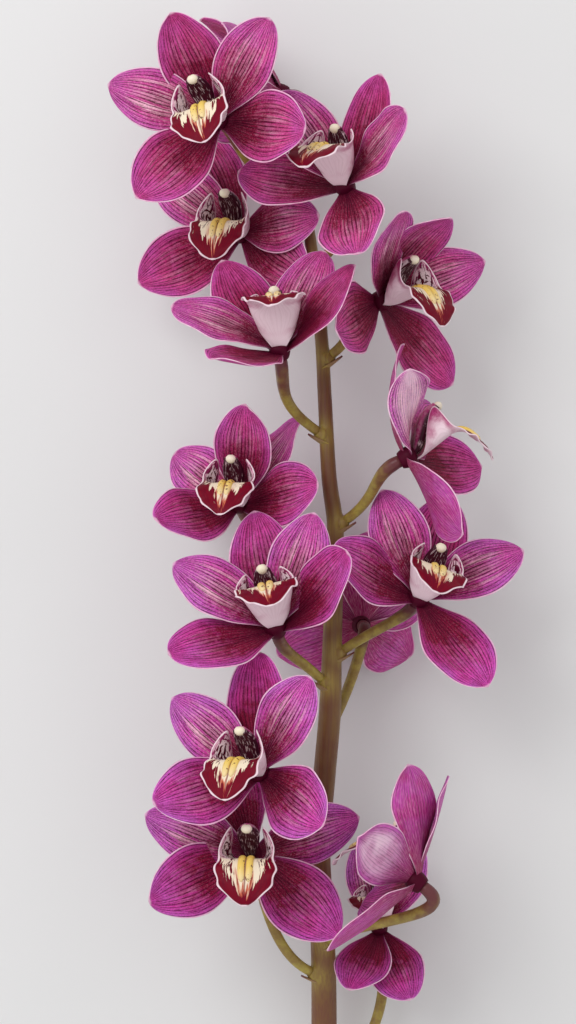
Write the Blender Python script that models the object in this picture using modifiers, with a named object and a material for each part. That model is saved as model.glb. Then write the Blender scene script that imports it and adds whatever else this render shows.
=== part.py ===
"""A cut cymbidium orchid stem with fifteen blooms, lying on a table with its best side up.

X runs across the stem, Y along it towards the tip, and Z up from the table. Stations and
hearts are given in millimetres from the middle of the flowering length, at table height.
"""

import math
from typing import NamedTuple

import bmesh
import bpy
from mathutils import Matrix, Vector

MM = 0.001

# Driving sizes of one full-size bloom, in millimetres.
SEPAL_LENGTH = 57.0
SEPAL_WIDTH = 37.0
PETAL_LENGTH = 55.0
PETAL_WIDTH = 31.0
BLADE_THICKNESS = 1.2
BLADE_ROOT = 1.5
CLAW_SHARE = 0.17
CUP_EASING = 0.35
LIP_LENGTH = 48.0
LIP_THICKNESS = 1.1
LIP_ROOT_UP = -2.9
LIP_SEAT = 0.6
LIP_FLOOR = 4.5
LIP_FUNNEL = 4.0
LIP_BEND = 8.5
LIP_SLANT = 0.35
COLUMN_LENGTH = 24.0
COLUMN_RADIUS = 4.8
COLUMN_ROOT_UP = 1.4
COLUMN_FOOT = 1.2
CAP_RADIUS = 2.7
CAP_SIDES = 6
CAP_RINGS = 3
HEART_RADIUS = 5.0
HEART_BACK = -4.0
HEART_FRONT = 4.4

# The stalks: each pedicel starts on a stub of the rachis, over a small sheath. It sets
# off partly outward and partly along the rachis, and it is straight at both ends.
PEDICEL_ROOT_RADIUS = 2.4
PEDICEL_TOP_RADIUS = 3.1
PEDICEL_STRAIGHT = 1.5
PEDICEL_GRIP = 0.42
PEDICEL_TOP_GRIP = 0.3
OUTWARD_SHARE = 0.82
ONWARD_SHARE = 0.57
STUB_ROOT_RADIUS = 3.4
STUB_END_RADIUS = 2.9
STUB_REACH = 3.0
BRACT_HALF_WIDTH = 3.6
BRACT_REACH = 7.0
BRACT_BELOW = 4.0
BRACT_THICKNESS = 0.9
BRACT_HUG = 0.11
BRACT_ROOT_SHARE = 0.3
SEAT_GAP = 0.3

# Angles in degrees: how far the lip's sides stand up and its tongue turns down.
LIP_LIFT = 108.0
LIP_FLARE = 14.0
LIP_START = 12.0
LIP_TURN = -76.0
LIP_CURL = -28.0
COLUMN_HEADINGS = (44.0, 46.0, 26.0)
COLUMN_SHARES = (0.5, 0.56, 0.95, 1.08, 0.8)

# How finely each kind of surface is divided.
BLADE_ROWS = 4
BLADE_COLUMNS = 4
LIP_COLUMNS = 6
PEDICEL_STATIONS = 5
RACHIS_SIDES = 8
STALK_SIDES = 6
CORE_SIDES = 6
SHARP_ANGLE = 50.0

# Half the lip's width over its surface, in millimetres, at shares of its length.
LIP_OUTLINE = [
    (0.0, 3.6),
    (0.1, 9.0),
    (0.22, 22.0),
    (0.34, 28.0),
    (0.46, 14.5),
    (0.61, 15.5),
    (0.8, 12.5),
    (1.0, 3.0),
]

# The middle of the whole stem's box, which is moved to the origin.
CENTRE_X = 14.6
CENTRE_Y = -78.8

# The topmost bloom is only half open, and its column is one piece with its heart.
HALF_OPEN = "bloom_15"

# The rachis from the cut end to the tip: x, y, height above the table, radius.
RACHIS = [
    (17.0, -406.0, 6.9, 6.9),
    (17.5, -360.0, 11.0, 6.8),
    (18.0, -310.0, 19.0, 6.7),
    (18.3, -255.0, 31.0, 6.5),
    (17.5, -215.0, 41.0, 6.2),
    (15.5, -168.0, 50.0, 5.8),
    (18.0, -135.0, 54.0, 5.7),
    (21.0, -100.0, 56.0, 5.6),
    (22.0, -70.0, 57.0, 5.0),
    (23.5, -24.0, 58.0, 4.4),
    (23.5, -5.0, 58.0, 4.2),
    (20.5, 18.0, 58.0, 3.9),
    (18.5, 55.0, 59.0, 3.6),
    (16.5, 90.0, 60.0, 3.4),
    (12.0, 130.0, 60.0, 3.1),
    (8.0, 155.0, 59.0, 2.8),
    (3.0, 180.0, 57.0, 2.6),
    (-2.0, 198.0, 55.0, 2.3),
]


class Tepal(NamedTuple):
    """One sepal or petal. Angles are in degrees, lengths in millimetres."""

    azimuth: float
    length: float
    width: float
    lean: float
    curl: float
    cup: float
    twist: float = 0.0
    depth: float = 0.0


class Bloom(NamedTuple):
    """Where one bloom sits, which way it looks, and where its pedicel leaves the rachis.

    poses holds, for a tepal that differs from the typical one, its azimuth, lean, curl
    and, where it turns on itself, twist.
    """

    name: str
    heart: tuple
    yaw: float
    pitch: float
    roll: float
    node_y: float
    node_turn: float
    size: float = 1.0
    poses: dict = {}


# The five tepals of a typical bloom: three sepals behind, two petals in front.
TEPALS = {
    "dorsal": Tepal(0.0, SEPAL_LENGTH, SEPAL_WIDTH * 0.93, 14.0, 30.0, 0.55, 0.0, -1.2),
    "petal_left": Tepal(-53.0, PETAL_LENGTH, PETAL_WIDTH, 24.0, -18.0, 0.25, 8.0, 1.6),
    "petal_right": Tepal(53.0, PETAL_LENGTH, PETAL_WIDTH, 24.0, -18.0, 0.25, -8.0, 1.6),
    "sepal_left": Tepal(-122.0, SEPAL_LENGTH, SEPAL_WIDTH, 20.0, 10.0, 0.35, 6.0, -1.2),
    "sepal_right": Tepal(122.0, SEPAL_LENGTH, SEPAL_WIDTH, 20.0, 10.0, 0.35, -6.0, -1.2),
}

# What a bloom's own pose of a tepal gives, in this order.
POSE_FIELDS = ("azimuth", "lean", "curl", "twist")

BLOOMS = [
    Bloom(
        "bloom_01", (46.5, -212.0, 24.0), -12.0, 45.0, 0.0, -290.0, -10.0, 0.8,
        {
            "dorsal": (0, 12, 20),
            "petal_left": (-16, 28, 12),
            "petal_right": (34, 30, 14),
            "sepal_left": (-170, 6, 10),
            "sepal_right": (154, -8, 10),
        },
    ),
    Bloom(
        "bloom_02", (-18.0, -169.0, 84.0), -5.0, -4.0, 0.0, -236.0, 150.0, 1.0,
        {
            "dorsal": (-15, -8, 8),
            "petal_left": (-67, 20, -14),
            "petal_right": (72, -12, -4),
            "sepal_left": (-112, 24, 10),
            "sepal_right": (133, 2, 6, 10),
        },
    ),
    Bloom(
        "bloom_03", (63.0, -181.0, 101.0), -100.0, 38.0, 0.0, -219.0, 62.0, 1.0,
        {
            "dorsal": (0, 34, 20, 55),
            "petal_left": (-28, 16, 10),
            "petal_right": (82, 40, -12),
            "sepal_left": (-125, 14, 10),
            "sepal_right": (148, 10, 6),
        },
    ),
    Bloom(
        "bloom_04", (-14.0, -127.0, 104.0), -25.0, 12.0, 3.0, -168.0, 100.0, 1.0,
        {
            "dorsal": (0, 4, 14),
            "petal_left": (-50, 23, -18),
            "petal_right": (38, 24, -14),
            "sepal_left": (-119, 40, 8),
            "sepal_right": (124, 18, 10),
        },
    ),
    Bloom(
        "bloom_05", (37.0, -57.0, 41.7), 190.0, 6.0, 0.0, -110.0, -70.0, 0.9,
        {
            "dorsal": (-10, 26, 12),
            "petal_left": (-68, 34, -6),
            "petal_right": (52, 38, -6),
            "sepal_left": (-125, 40, 8),
            "sepal_right": (118, 34, 8),
        },
    ),
    Bloom(
        "bloom_06", (-6.0, -57.0, 92.0), -12.0, 42.0, 18.0, -88.0, 140.0, 1.04,
        {
            "dorsal": (3, 20, 24),
            "petal_left": (-53, 36, -16),
            "petal_right": (41, 30, 12),
            "sepal_left": (-110, 17, 10),
            "sepal_right": (89, 30, 32),
        },
    ),
    Bloom(
        "bloom_07", (65.0, -43.0, 70.0), 20.0, 31.0, -24.0, -73.0, 20.0, 1.0,
        {
            "dorsal": (0, 2, 26),
            "petal_left": (-41, 26, -16, 40),
            "petal_right": (53, 36, -16),
            "sepal_left": (-98, 22, 10),
            "sepal_right": (132, 2, 10),
        },
    ),
    Bloom(
        "bloom_08", (-25.0, 4.0, 54.0), -12.0, 20.0, 0.0, -54.0, 190.0, 0.95,
        {
            "dorsal": (12, 29, 30),
            "petal_left": (-50, -14, -10),
            "petal_right": (34, 2, 6, 50),
            "sepal_left": (-126, 42, 10),
            "sepal_right": (91, 30, 8),
        },
    ),
    Bloom(
        "bloom_09", (59.0, 27.0, 84.0), 88.0, 26.0, 0.0, -8.0, 20.0, 1.0,
        {
            "dorsal": (0, -2, 56),
            "petal_left": (-46, 16, 6, 85),
            "petal_right": (72, 30, -16),
            "sepal_left": (-142, 4, 10, 35),
            "sepal_right": (114, 30, 10),
        },
    ),
    Bloom(
        "bloom_10", (-4.0, 79.0, 104.0), -10.0, 56.0, 10.0, 37.0, 150.0, 1.0,
        {
            "dorsal": (-30, 17, 30),
            "petal_left": (-77, 32, -16),
            "petal_right": (32, 38, -16),
            "sepal_left": (-145, 22, 10),
            "sepal_right": (82, 41, 10),
        },
    ),
    Bloom(
        "bloom_11", (46.0, 105.0, 72.0), 48.0, 8.0, 0.0, 75.0, 20.0, 1.0,
        {
            "dorsal": (15, 26, 52),
            "petal_left": (-30, 30, 24),
            "petal_right": (70, 29, 14),
            "sepal_left": (-110, 11, 10),
            "sepal_right": (137, 4, 10),
        },
    ),
    Bloom(
        "bloom_12", (-24.0, 141.0, 36.0), -20.0, 6.0, 0.0, 100.0, 190.0, 1.0,
        {"dorsal": (-25, -4, 20), "petal_right": (86, 34, -16)},
    ),
    Bloom(
        "bloom_13", (28.0, 160.0, 96.0), -30.0, 36.0, 0.0, 122.0, 30.0, 1.0,
        {
            "dorsal": (21, 17, 30),
            "petal_left": (-44, 32, 12),
            "petal_right": (68, 29, 14),
            "sepal_left": (-86, 6, 10),
            "sepal_right": (152, 5, 10),
        },
    ),
    Bloom("bloom_14", (-34.0, 192.0, 102.0), -18.0, 6.0, 20.0, 155.0, 195.0),
    Bloom(
        "bloom_15", (-4.0, 212.0, 32.8), -82.0, 8.0, 0.0, 186.0, -10.0, 1.0,
        {
            "dorsal": (0, 30, 56),
            "petal_left": (-55, 36, 10),
            "petal_right": (55, 35, 10),
            "sepal_left": (-125, 34, 20),
            "sepal_right": (125, 34, 30),
        },
    ),
]


def clear_scene():
    """Removes whatever the scene holds, so the script can be run again."""
    for old in list(bpy.data.objects):
        bpy.data.objects.remove(old)
    for collection in list(bpy.data.collections):
        bpy.data.collections.remove(collection)


def make_material(name, colour, roughness):
    """A plain Principled material with this colour."""
    material = bpy.data.materials.new(name)
    material.use_nodes = True
    shader = material.node_tree.nodes["Principled BSDF"]
    shader.inputs["Base Color"].default_value = (*colour, 1.0)
    shader.inputs["Roughness"].default_value = roughness
    shader.inputs["Metallic"].default_value = 0.0
    return material


def facing_matrix(bloom):
    """Turns a bloom's own axes, right, up and forward, to the way it looks."""
    yaw, pitch = math.radians(bloom.yaw), math.radians(bloom.pitch)
    forward = Vector(
        (
            math.sin(yaw) * math.cos(pitch),
            math.sin(pitch),
            math.cos(yaw) * math.cos(pitch),
        )
    )
    up = (Vector((0, 1, 0)) - forward * forward.y).normalized()
    right = up.cross(forward)
    turned = Matrix((right, up, forward)).transposed()
    return turned.to_4x4() @ Matrix.Rotation(math.radians(bloom.roll), 4, "Z")


def posed_tepal(bloom, kind):
    """The typical sepal or petal of this kind, in the pose that it has in this bloom."""
    pose = dict(zip(POSE_FIELDS, bloom.poses.get(kind, ()), strict=False))
    return TEPALS[kind]._replace(**pose)


def blade_share(t):
    """A tepal's width at t from root to tip, as a share of its widest."""
    claw = CLAW_SHARE * (1 - t) ** 3
    body = max(math.sin(math.pi * t**1.16), 0.0) ** (0.95 - 0.42 * t)
    return claw + (1 - claw) * body


def blade_point(tepal, size, t, s):
    """A point of a tepal's middle surface, t along it and s from -1 to 1 across it."""
    length, half = tepal.length * size, tepal.width * size / 2 * blade_share(t)
    lean, curl = math.radians(tepal.lean), math.radians(tepal.curl)
    heading = lean + curl * t
    reach = BLADE_ROOT + length * (math.sin(heading) - math.sin(lean)) / curl
    rise = tepal.depth + length * (math.cos(lean) - math.cos(heading)) / curl
    cup = tepal.cup * (1 - CUP_EASING * t)
    across = half * math.sin(cup * s) / cup
    bulge = half * (1 - math.cos(cup * s)) / cup
    twist = math.radians(tepal.twist) * t
    across, bulge = (
        across * math.cos(twist) - bulge * math.sin(twist),
        across * math.sin(twist) + bulge * math.cos(twist),
    )
    azimuth = math.radians(tepal.azimuth)
    outward = Vector((math.sin(azimuth), math.cos(azimuth), 0))
    sideways = Vector((math.cos(azimuth), -math.sin(azimuth), 0))
    front = Vector((0, 0, 1))
    normal = front * math.cos(heading) - outward * math.sin(heading)
    return outward * reach + front * rise + sideways * across + normal * bulge


def smooth_step(low, high, value):
    """0 below low, 1 above high, and a smooth rise between them."""
    share = min(max((value - low) / (high - low), 0.0), 1.0)
    return share * share * (3 - 2 * share)


def lip_half_width(t):
    """Half the lip's width over its surface: side lobes, a notch, then the mid lobe."""
    for low, high in zip(LIP_OUTLINE, LIP_OUTLINE[1:], strict=False):
        if t <= high[0]:
            return low[1] + (high[1] - low[1]) * (t - low[0]) / (high[0] - low[0])
    return LIP_OUTLINE[-1][1]


def lip_heading(t):
    """How far the lip's middle line has turned down from straight ahead, in radians."""
    turned = LIP_TURN * smooth_step(0.38, 0.66, t) + LIP_CURL * smooth_step(0.7, 1.0, t)
    return math.radians(LIP_START + turned)


def lip_midline(t):
    """The lip's middle line in its own upright plane: height and distance forward."""
    steps = 24
    up, forward = LIP_ROOT_UP, HEART_FRONT + LIP_SEAT
    for i in range(steps):
        heading = lip_heading(t * (i + 0.5) / steps)
        up += LIP_LENGTH * t / steps * math.sin(heading)
        forward += LIP_LENGTH * t / steps * math.cos(heading)
    return up, forward


def lip_point(size, t, s):
    """A point of the lip: a trough with raised side lobes, then a tongue that turns down."""
    up, forward = lip_midline(t)
    heading = lip_heading(t)
    arc = abs(s) * lip_half_width(t)
    standing = LIP_LIFT * (1 - smooth_step(0.36, 0.58, t))
    standing -= LIP_FLARE * smooth_step(0.58, 0.9, t)
    lift = math.radians(standing if abs(standing) > 0.1 else 0.1)
    floor = LIP_FLOOR + LIP_FUNNEL * smooth_step(0.08, 0.45, t)
    turn = lift * min(max(arc - floor, 0.0), LIP_BEND) / LIP_BEND
    straight = max(arc - floor - LIP_BEND, 0.0)
    across = min(arc, floor) + LIP_BEND / lift * math.sin(turn) + straight * math.cos(lift)
    raised = LIP_BEND / lift * (1 - math.cos(turn)) + straight * math.sin(lift)
    slant = LIP_SLANT * raised * (1 - smooth_step(0.36, 0.58, t))
    return size * Vector(
        (
            math.copysign(across, s),
            up + raised * math.cos(heading),
            forward - raised * math.sin(heading) + slant,
        )
    )


def shade_round(mesh):
    """Shades a mesh smooth, but keeps its real edges sharp."""
    mesh.shade_smooth()
    mesh.set_sharp_from_angle(angle=math.radians(SHARP_ANGLE))


def shell_from(name, rows, columns, place, thickness, material):
    """A closed thin shell on the surface that place(t, s) gives, with t at the given rows."""
    mesh = bpy.data.meshes.new(name)
    grid = bmesh.new()
    bmesh.ops.create_grid(grid, x_segments=len(rows) - 1, y_segments=columns, size=1.0)
    for vertex in grid.verts:
        row = round((vertex.co.x + 1) / 2 * (len(rows) - 1))
        vertex.co = place(rows[row], vertex.co.y) * MM
    bmesh.ops.remove_doubles(grid, verts=grid.verts, dist=0.02 * MM)
    bmesh.ops.triangulate(grid, faces=grid.faces, quad_method="FIXED")
    grid.to_mesh(mesh)
    grid.free()
    shell = bpy.data.objects.new(name, mesh)
    shell.data.materials.append(material)
    thicken = shell.modifiers.new("thickness", "SOLIDIFY")
    thicken.thickness = thickness * MM
    thicken.offset = 0.0
    return shell


def solid_cone(name, sides, back_radius, front_radius, back, front, material):
    """A closed cone or cylinder along +Z from back to front."""
    mesh = bpy.data.meshes.new(name)
    cone = bmesh.new()
    bmesh.ops.create_cone(
        cone,
        cap_ends=True,
        segments=sides,
        radius1=back_radius * MM,
        radius2=front_radius * MM,
        depth=(front - back) * MM,
        matrix=Matrix.Translation((0, 0, (front + back) / 2 * MM)),
    )
    cone.to_mesh(mesh)
    cone.free()
    solid = bpy.data.objects.new(name, mesh)
    solid.data.materials.append(material)
    return solid


def solid_sphere(name, radius, centre, material):
    """A small closed sphere at a point."""
    mesh = bpy.data.meshes.new(name)
    ball = bmesh.new()
    bmesh.ops.create_uvsphere(
        ball,
        u_segments=CAP_SIDES,
        v_segments=CAP_RINGS,
        radius=radius * MM,
        matrix=Matrix.Translation(Vector(centre) * MM),
    )
    ball.to_mesh(mesh)
    ball.free()
    solid = bpy.data.objects.new(name, mesh)
    solid.data.materials.append(material)
    return solid


def evaluated_mesh(item):
    """The item's mesh with its modifiers or bevel applied."""
    bpy.context.view_layer.update()
    depsgraph = bpy.context.evaluated_depsgraph_get()
    return bpy.data.meshes.new_from_object(item.evaluated_get(depsgraph))


def solid_tube(name, points, radii, sides, material):
    """A closed tube through the points, in millimetres, with its own radius at each.

    A curve's bevel has four sides and two more for each step of its resolution.
    """
    line = bpy.data.curves.new(name, "CURVE")
    line.dimensions = "3D"
    line.bevel_depth = 1.0
    line.bevel_resolution = (sides - 4) // 2
    line.use_fill_caps = True
    spline = line.splines.new("POLY")
    spline.points.add(len(points) - 1)
    for point, place, radius in zip(spline.points, points, radii, strict=True):
        point.co = (*(Vector(place) * MM), 1.0)
        point.radius = radius * MM
    guide = bpy.data.objects.new(name + "_guide", line)
    bpy.context.scene.collection.objects.link(guide)
    mesh = evaluated_mesh(guide)
    mesh.name = name
    bpy.data.objects.remove(guide)
    welded = bmesh.new()
    welded.from_mesh(mesh)
    bmesh.ops.remove_doubles(welded, verts=welded.verts, dist=0.01 * MM)
    bmesh.ops.recalc_face_normals(welded, faces=welded.faces)
    welded.to_mesh(mesh)
    welded.free()
    shade_round(mesh)
    tube = bpy.data.objects.new(name, mesh)
    mesh.materials.clear()
    mesh.materials.append(material)
    return tube


def fuse(base, others):
    """Joins the others to base in one Boolean union and removes them."""
    group = bpy.data.collections.new(base.name + "_pieces")
    bpy.context.scene.collection.children.link(group)
    for other in others:
        group.objects.link(other)
    bpy.context.scene.collection.objects.link(base)
    union = base.modifiers.new("union", "BOOLEAN")
    union.operation = "UNION"
    union.operand_type = "COLLECTION"
    union.collection = group
    union.solver = "EXACT"
    whole = evaluated_mesh(base)
    whole.name = base.name
    shade_round(whole)
    base.modifiers.clear()
    base.data = whole
    bpy.context.scene.collection.objects.unlink(base)
    for other in others:
        bpy.data.objects.remove(other)
    bpy.data.collections.remove(group)
    return base


def rachis_at(y):
    """The rachis's middle, direction and radius at this y, read along its stations."""
    for low, high in zip(RACHIS, RACHIS[1:], strict=False):
        if low[1] <= y <= high[1]:
            share = (y - low[1]) / (high[1] - low[1])
            start, end = Vector(low[:3]), Vector(high[:3])
            radius = low[3] + (high[3] - low[3]) * share
            return start.lerp(end, share), (end - start).normalized(), radius
    raise ValueError(f"the rachis has no station at {y} mm")


def node_of(bloom):
    """Where a pedicel leaves the rachis, and the way it sets off.

    node_turn is 0 to the right, 90 to the front, 180 to the left and 270 to the table.
    """
    middle, along, radius = rachis_at(bloom.node_y)
    turn = math.radians(bloom.node_turn)
    side = Vector((math.cos(turn), 0, math.sin(turn)))
    side = (side - along * side.dot(along)).normalized()
    away = (side * OUTWARD_SHARE + along * ONWARD_SHARE).normalized()
    return middle, away, radius


def stub_end(bloom):
    """The middle of the flat face at the end of a node's stub."""
    middle, away, radius = node_of(bloom)
    return middle + away * (radius + STUB_REACH), away


def pedicel_points(bloom):
    """The pedicel's middle line, from its stub to the back of the heart."""
    start, away = stub_end(bloom)
    start = start + away * SEAT_GAP
    forward = facing_matrix(bloom).to_3x3() @ Vector((0, 0, 1))
    end = Vector(bloom.heart) + forward * (HEART_BACK - SEAT_GAP) * bloom.size
    span = (end - start).length
    first, last = start + away * PEDICEL_STRAIGHT, end - forward * PEDICEL_STRAIGHT
    handles = [
        first,
        first + away * span * PEDICEL_GRIP,
        last - forward * span * PEDICEL_TOP_GRIP,
        last,
    ]
    points = [start]
    for i in range(PEDICEL_STATIONS):
        t = i / (PEDICEL_STATIONS - 1)
        weights = [(1 - t) ** 3, 3 * t * (1 - t) ** 2, 3 * t * t * (1 - t), t**3]
        points.append(sum((h * w for h, w in zip(handles, weights, strict=True)), Vector()))
    return [*points, end]


def bract_point(radius, t, s):
    """A point of the small pointed sheath just below a pedicel, rooted in the rachis."""
    across = BRACT_HALF_WIDTH * (1 - t**1.6) * s
    hug = BRACT_HUG * across**2
    root = (BRACT_ROOT_SHARE * radius - ONWARD_SHARE * BRACT_BELOW) / OUTWARD_SHARE
    return Vector((across, BRACT_BELOW - hug, root + (radius + BRACT_REACH - root) * t))


def build_stem(material):
    """The rachis with a short stub and a small sheath at each node, in one solid."""
    stations = [station[:3] for station in RACHIS]
    radii = [station[3] for station in RACHIS]
    stem = solid_tube("stem", stations, radii, RACHIS_SIDES, material)
    growths = []
    for bloom in BLOOMS:
        middle, away, radius = node_of(bloom)
        stub = solid_cone(
            "stub",
            CORE_SIDES,
            STUB_ROOT_RADIUS,
            STUB_END_RADIUS,
            0.0,
            radius + STUB_REACH,
            material,
        )
        bract = shell_from(
            "bract",
            [0.0, 0.55, 1.0],
            2,
            lambda t, s, out=radius: bract_point(out, t, s),
            BRACT_THICKNESS,
            material,
        )
        below = (rachis_at(bloom.node_y)[1].cross(away)).cross(away).normalized()
        axes = Matrix((below.cross(away), below, away)).transposed().to_4x4()
        for growth in (stub, bract):
            growth.data.transform(Matrix.Translation(middle * MM) @ axes)
            growths.append(growth)
    return fuse(stem, growths)


def build_pedicel(bloom, material):
    """The stalk that carries a bloom, thicker towards the ovary."""
    points = pedicel_points(bloom)
    radii = []
    for i in range(len(points)):
        share = i / (len(points) - 1)
        radii.append(PEDICEL_ROOT_RADIUS + (PEDICEL_TOP_RADIUS - PEDICEL_ROOT_RADIUS) * share)
    return solid_tube(bloom.name + "_pedicel", points, radii, STALK_SIDES, material)


def build_tepals(bloom, material):
    """Three sepals and two petals on one heart, in one solid."""
    heart = solid_cone(
        bloom.name + "_tepals",
        CORE_SIDES,
        HEART_RADIUS * 0.8 * bloom.size,
        HEART_RADIUS * bloom.size,
        HEART_BACK * bloom.size,
        HEART_FRONT * bloom.size,
        material,
    )
    rows = [1 - (1 - i / BLADE_ROWS) ** 1.5 for i in range(BLADE_ROWS + 1)]
    blades = []
    for kind in TEPALS:
        shaped = posed_tepal(bloom, kind)
        blades.append(
            shell_from(
                kind,
                rows,
                BLADE_COLUMNS,
                lambda t, s, shaped=shaped: blade_point(shaped, bloom.size, t, s),
                BLADE_THICKNESS,
                material,
            )
        )
    return fuse(heart, blades)


def build_lip(bloom, material):
    """The lip, one shell with side lobes and a mid lobe."""
    return shell_from(
        bloom.name + "_lip",
        [station[0] for station in LIP_OUTLINE],
        LIP_COLUMNS,
        lambda t, s: lip_point(bloom.size, t, s),
        LIP_THICKNESS,
        material,
    )


def column_points():
    """The column's middle line: straight out of the heart, then arching over the lip."""
    foot = Vector((0, COLUMN_ROOT_UP, HEART_FRONT + SEAT_GAP))
    points = [foot, foot + Vector((0, 0, COLUMN_FOOT))]
    for heading in COLUMN_HEADINGS:
        turn = math.radians(heading)
        step = COLUMN_LENGTH / len(COLUMN_HEADINGS)
        points.append(points[-1] + Vector((0, math.sin(turn), math.cos(turn))) * step)
    return points


def build_column(bloom, material):
    """The column, arching over the lip, with its cap."""
    points = [point * bloom.size for point in column_points()]
    radii = [COLUMN_RADIUS * share * bloom.size for share in COLUMN_SHARES]
    column = solid_tube(bloom.name + "_column", points, radii, STALK_SIDES, material)
    return fuse(column, [solid_sphere("cap", CAP_RADIUS * bloom.size, points[-1], material)])


def build_bloom(bloom, collection, materials):
    """All the pieces of one bloom, hung from an empty that sets its place and aim."""
    aim = bpy.data.objects.new(bloom.name, None)
    aim.matrix_world = Matrix.Translation(Vector(bloom.heart) * MM) @ facing_matrix(bloom)
    collection.objects.link(aim)
    tepals = build_tepals(bloom, materials["tepals"])
    lip = build_lip(bloom, materials["lip"])
    column = build_column(bloom, materials["column"])
    pieces = [tepals, lip, column]
    if bloom.name == HALF_OPEN:
        column.data.transform(Matrix.Translation((0, 0, -2 * SEAT_GAP * MM)))
        fuse(tepals, [column])
        pieces = [tepals, lip]
    for piece in pieces:
        piece.parent = aim
        collection.objects.link(piece)
    collection.objects.link(build_pedicel(bloom, materials["pedicel"]))


def main():
    clear_scene()
    collection = bpy.data.collections.new("cymbidium_orchid_stem")
    bpy.context.scene.collection.children.link(collection)
    materials = {
        "stem": make_material("stem", (0.24, 0.16, 0.06), 0.5),
        "pedicel": make_material("pedicel", (0.36, 0.33, 0.09), 0.5),
        "tepals": make_material("tepals", (0.55, 0.05, 0.27), 0.45),
        "lip": make_material("lip", (0.36, 0.01, 0.05), 0.4),
        "column": make_material("column", (0.85, 0.78, 0.62), 0.4),
    }
    collection.objects.link(build_stem(materials["stem"]))
    for bloom in BLOOMS:
        build_bloom(bloom, collection, materials)
    to_origin = Matrix.Translation(Vector((-CENTRE_X, -CENTRE_Y, 0)) * MM)
    for piece in collection.objects:
        if piece.parent is None:
            piece.matrix_world = to_origin @ piece.matrix_world


main()
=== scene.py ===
"""A cut cymbidium orchid stem with fifteen blooms, lying on a pale surface, best side up.

Lengths in the tables are millimetres from the middle of the flowering length at the height
of the surface: X across the stem, Y along it towards the tip, Z up. Angles are degrees.
Inside a bloom, X is its right, Y its top and Z the way it looks.
"""

import math
import random
from typing import NamedTuple

import bmesh
import bpy
import numpy as np
from bpy.props import FloatProperty, FloatVectorProperty, IntProperty, PointerProperty
from mathutils import Matrix, Vector


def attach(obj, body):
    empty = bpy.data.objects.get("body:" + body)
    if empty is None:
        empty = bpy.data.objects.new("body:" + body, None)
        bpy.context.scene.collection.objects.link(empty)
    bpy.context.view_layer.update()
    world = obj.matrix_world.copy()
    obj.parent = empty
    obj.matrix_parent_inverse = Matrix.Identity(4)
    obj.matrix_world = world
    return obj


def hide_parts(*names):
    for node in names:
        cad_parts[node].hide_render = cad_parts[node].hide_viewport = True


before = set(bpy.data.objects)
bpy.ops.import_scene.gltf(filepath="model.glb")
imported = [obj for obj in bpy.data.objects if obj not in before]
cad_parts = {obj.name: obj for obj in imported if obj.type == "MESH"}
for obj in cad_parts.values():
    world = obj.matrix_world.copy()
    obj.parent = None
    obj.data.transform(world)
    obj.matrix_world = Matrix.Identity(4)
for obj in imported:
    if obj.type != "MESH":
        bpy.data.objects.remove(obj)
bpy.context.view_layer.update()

bl_info = {
    "name": "Cymbidium stem",
    "version": (1, 0, 0),
    "blender": (4, 5, 0),
    "location": "View3D > Sidebar > Orchid",
    "description": "Grows a cut cymbidium stem with its blooms, lying on a surface",
    "category": "Object",
}

MM = 0.001

# Driving sizes of one full-size bloom, in millimetres.
SEPAL_LENGTH = 57.0
SEPAL_WIDTH = 37.0
PETAL_LENGTH = 55.0
PETAL_WIDTH = 31.0
BLADE_ROOT = 1.5
CLAW_SHARE = 0.17
CUP_EASING = 0.35
LIP_LENGTH = 48.0
LIP_ROOT_UP = -2.9
LIP_SEAT = 0.6
LIP_FLOOR = 4.5
LIP_FUNNEL = 4.0
LIP_BEND = 8.5
LIP_SLANT = 0.35
COLUMN_LENGTH = 24.0
COLUMN_RADIUS = 4.8
COLUMN_ROOT_UP = 1.4
COLUMN_FOOT = 1.2
CAP_RADIUS = 2.7
HEART_RADIUS = 5.0
HEART_BACK = -4.0
HEART_FRONT = 4.4

# The stalks: each pedicel starts on a stub of the rachis, over a small sheath. It sets
# off partly outward and partly along the rachis, and it is straight at both ends.
PEDICEL_ROOT_RADIUS = 2.4
PEDICEL_TOP_RADIUS = 3.1
PEDICEL_STRAIGHT = 1.5
PEDICEL_GRIP = 0.42
PEDICEL_TOP_GRIP = 0.3
OUTWARD_SHARE = 0.82
ONWARD_SHARE = 0.57
STUB_ROOT_RADIUS = 3.4
STUB_END_RADIUS = 2.9
STUB_REACH = 3.0
BRACT_HALF_WIDTH = 3.6
BRACT_REACH = 7.0
BRACT_BELOW = 4.0
BRACT_HUG = 0.11
BRACT_ROOT_SHARE = 0.3
SEAT_GAP = 0.3

# How far a lip, column or stalk runs on into what it grows from.
TUCK = 1.2

# The share of its length from which the lip's mid lobe rounds off, and the shares over
# which its sides come down, its tongue turns down and curls, and its floor widens.
LIP_ROUNDING = 0.8
LIP_SIDES_SPAN = (0.36, 0.58)
LIP_FLARE_SPAN = (0.58, 0.9)
LIP_TURN_SPAN = (0.38, 0.66)
LIP_CURL_SPAN = (0.7, 1.0)
LIP_FLOOR_SPAN = (0.08, 0.45)

# Angles in degrees: how far the lip's sides stand up, then flare, how far its tongue turns
# down, and the way of each stretch of the column's arch.
LIP_LIFT = 108.0
LIP_FLARE = 14.0
LIP_START = 12.0
LIP_TURN = -76.0
LIP_CURL = -28.0
COLUMN_HEADINGS = (44.0, 46.0, 26.0)

# The column's radius along its arch, as shares of its full radius.
COLUMN_SHARES = (0.5, 0.56, 0.95, 1.08, 0.8)

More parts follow.
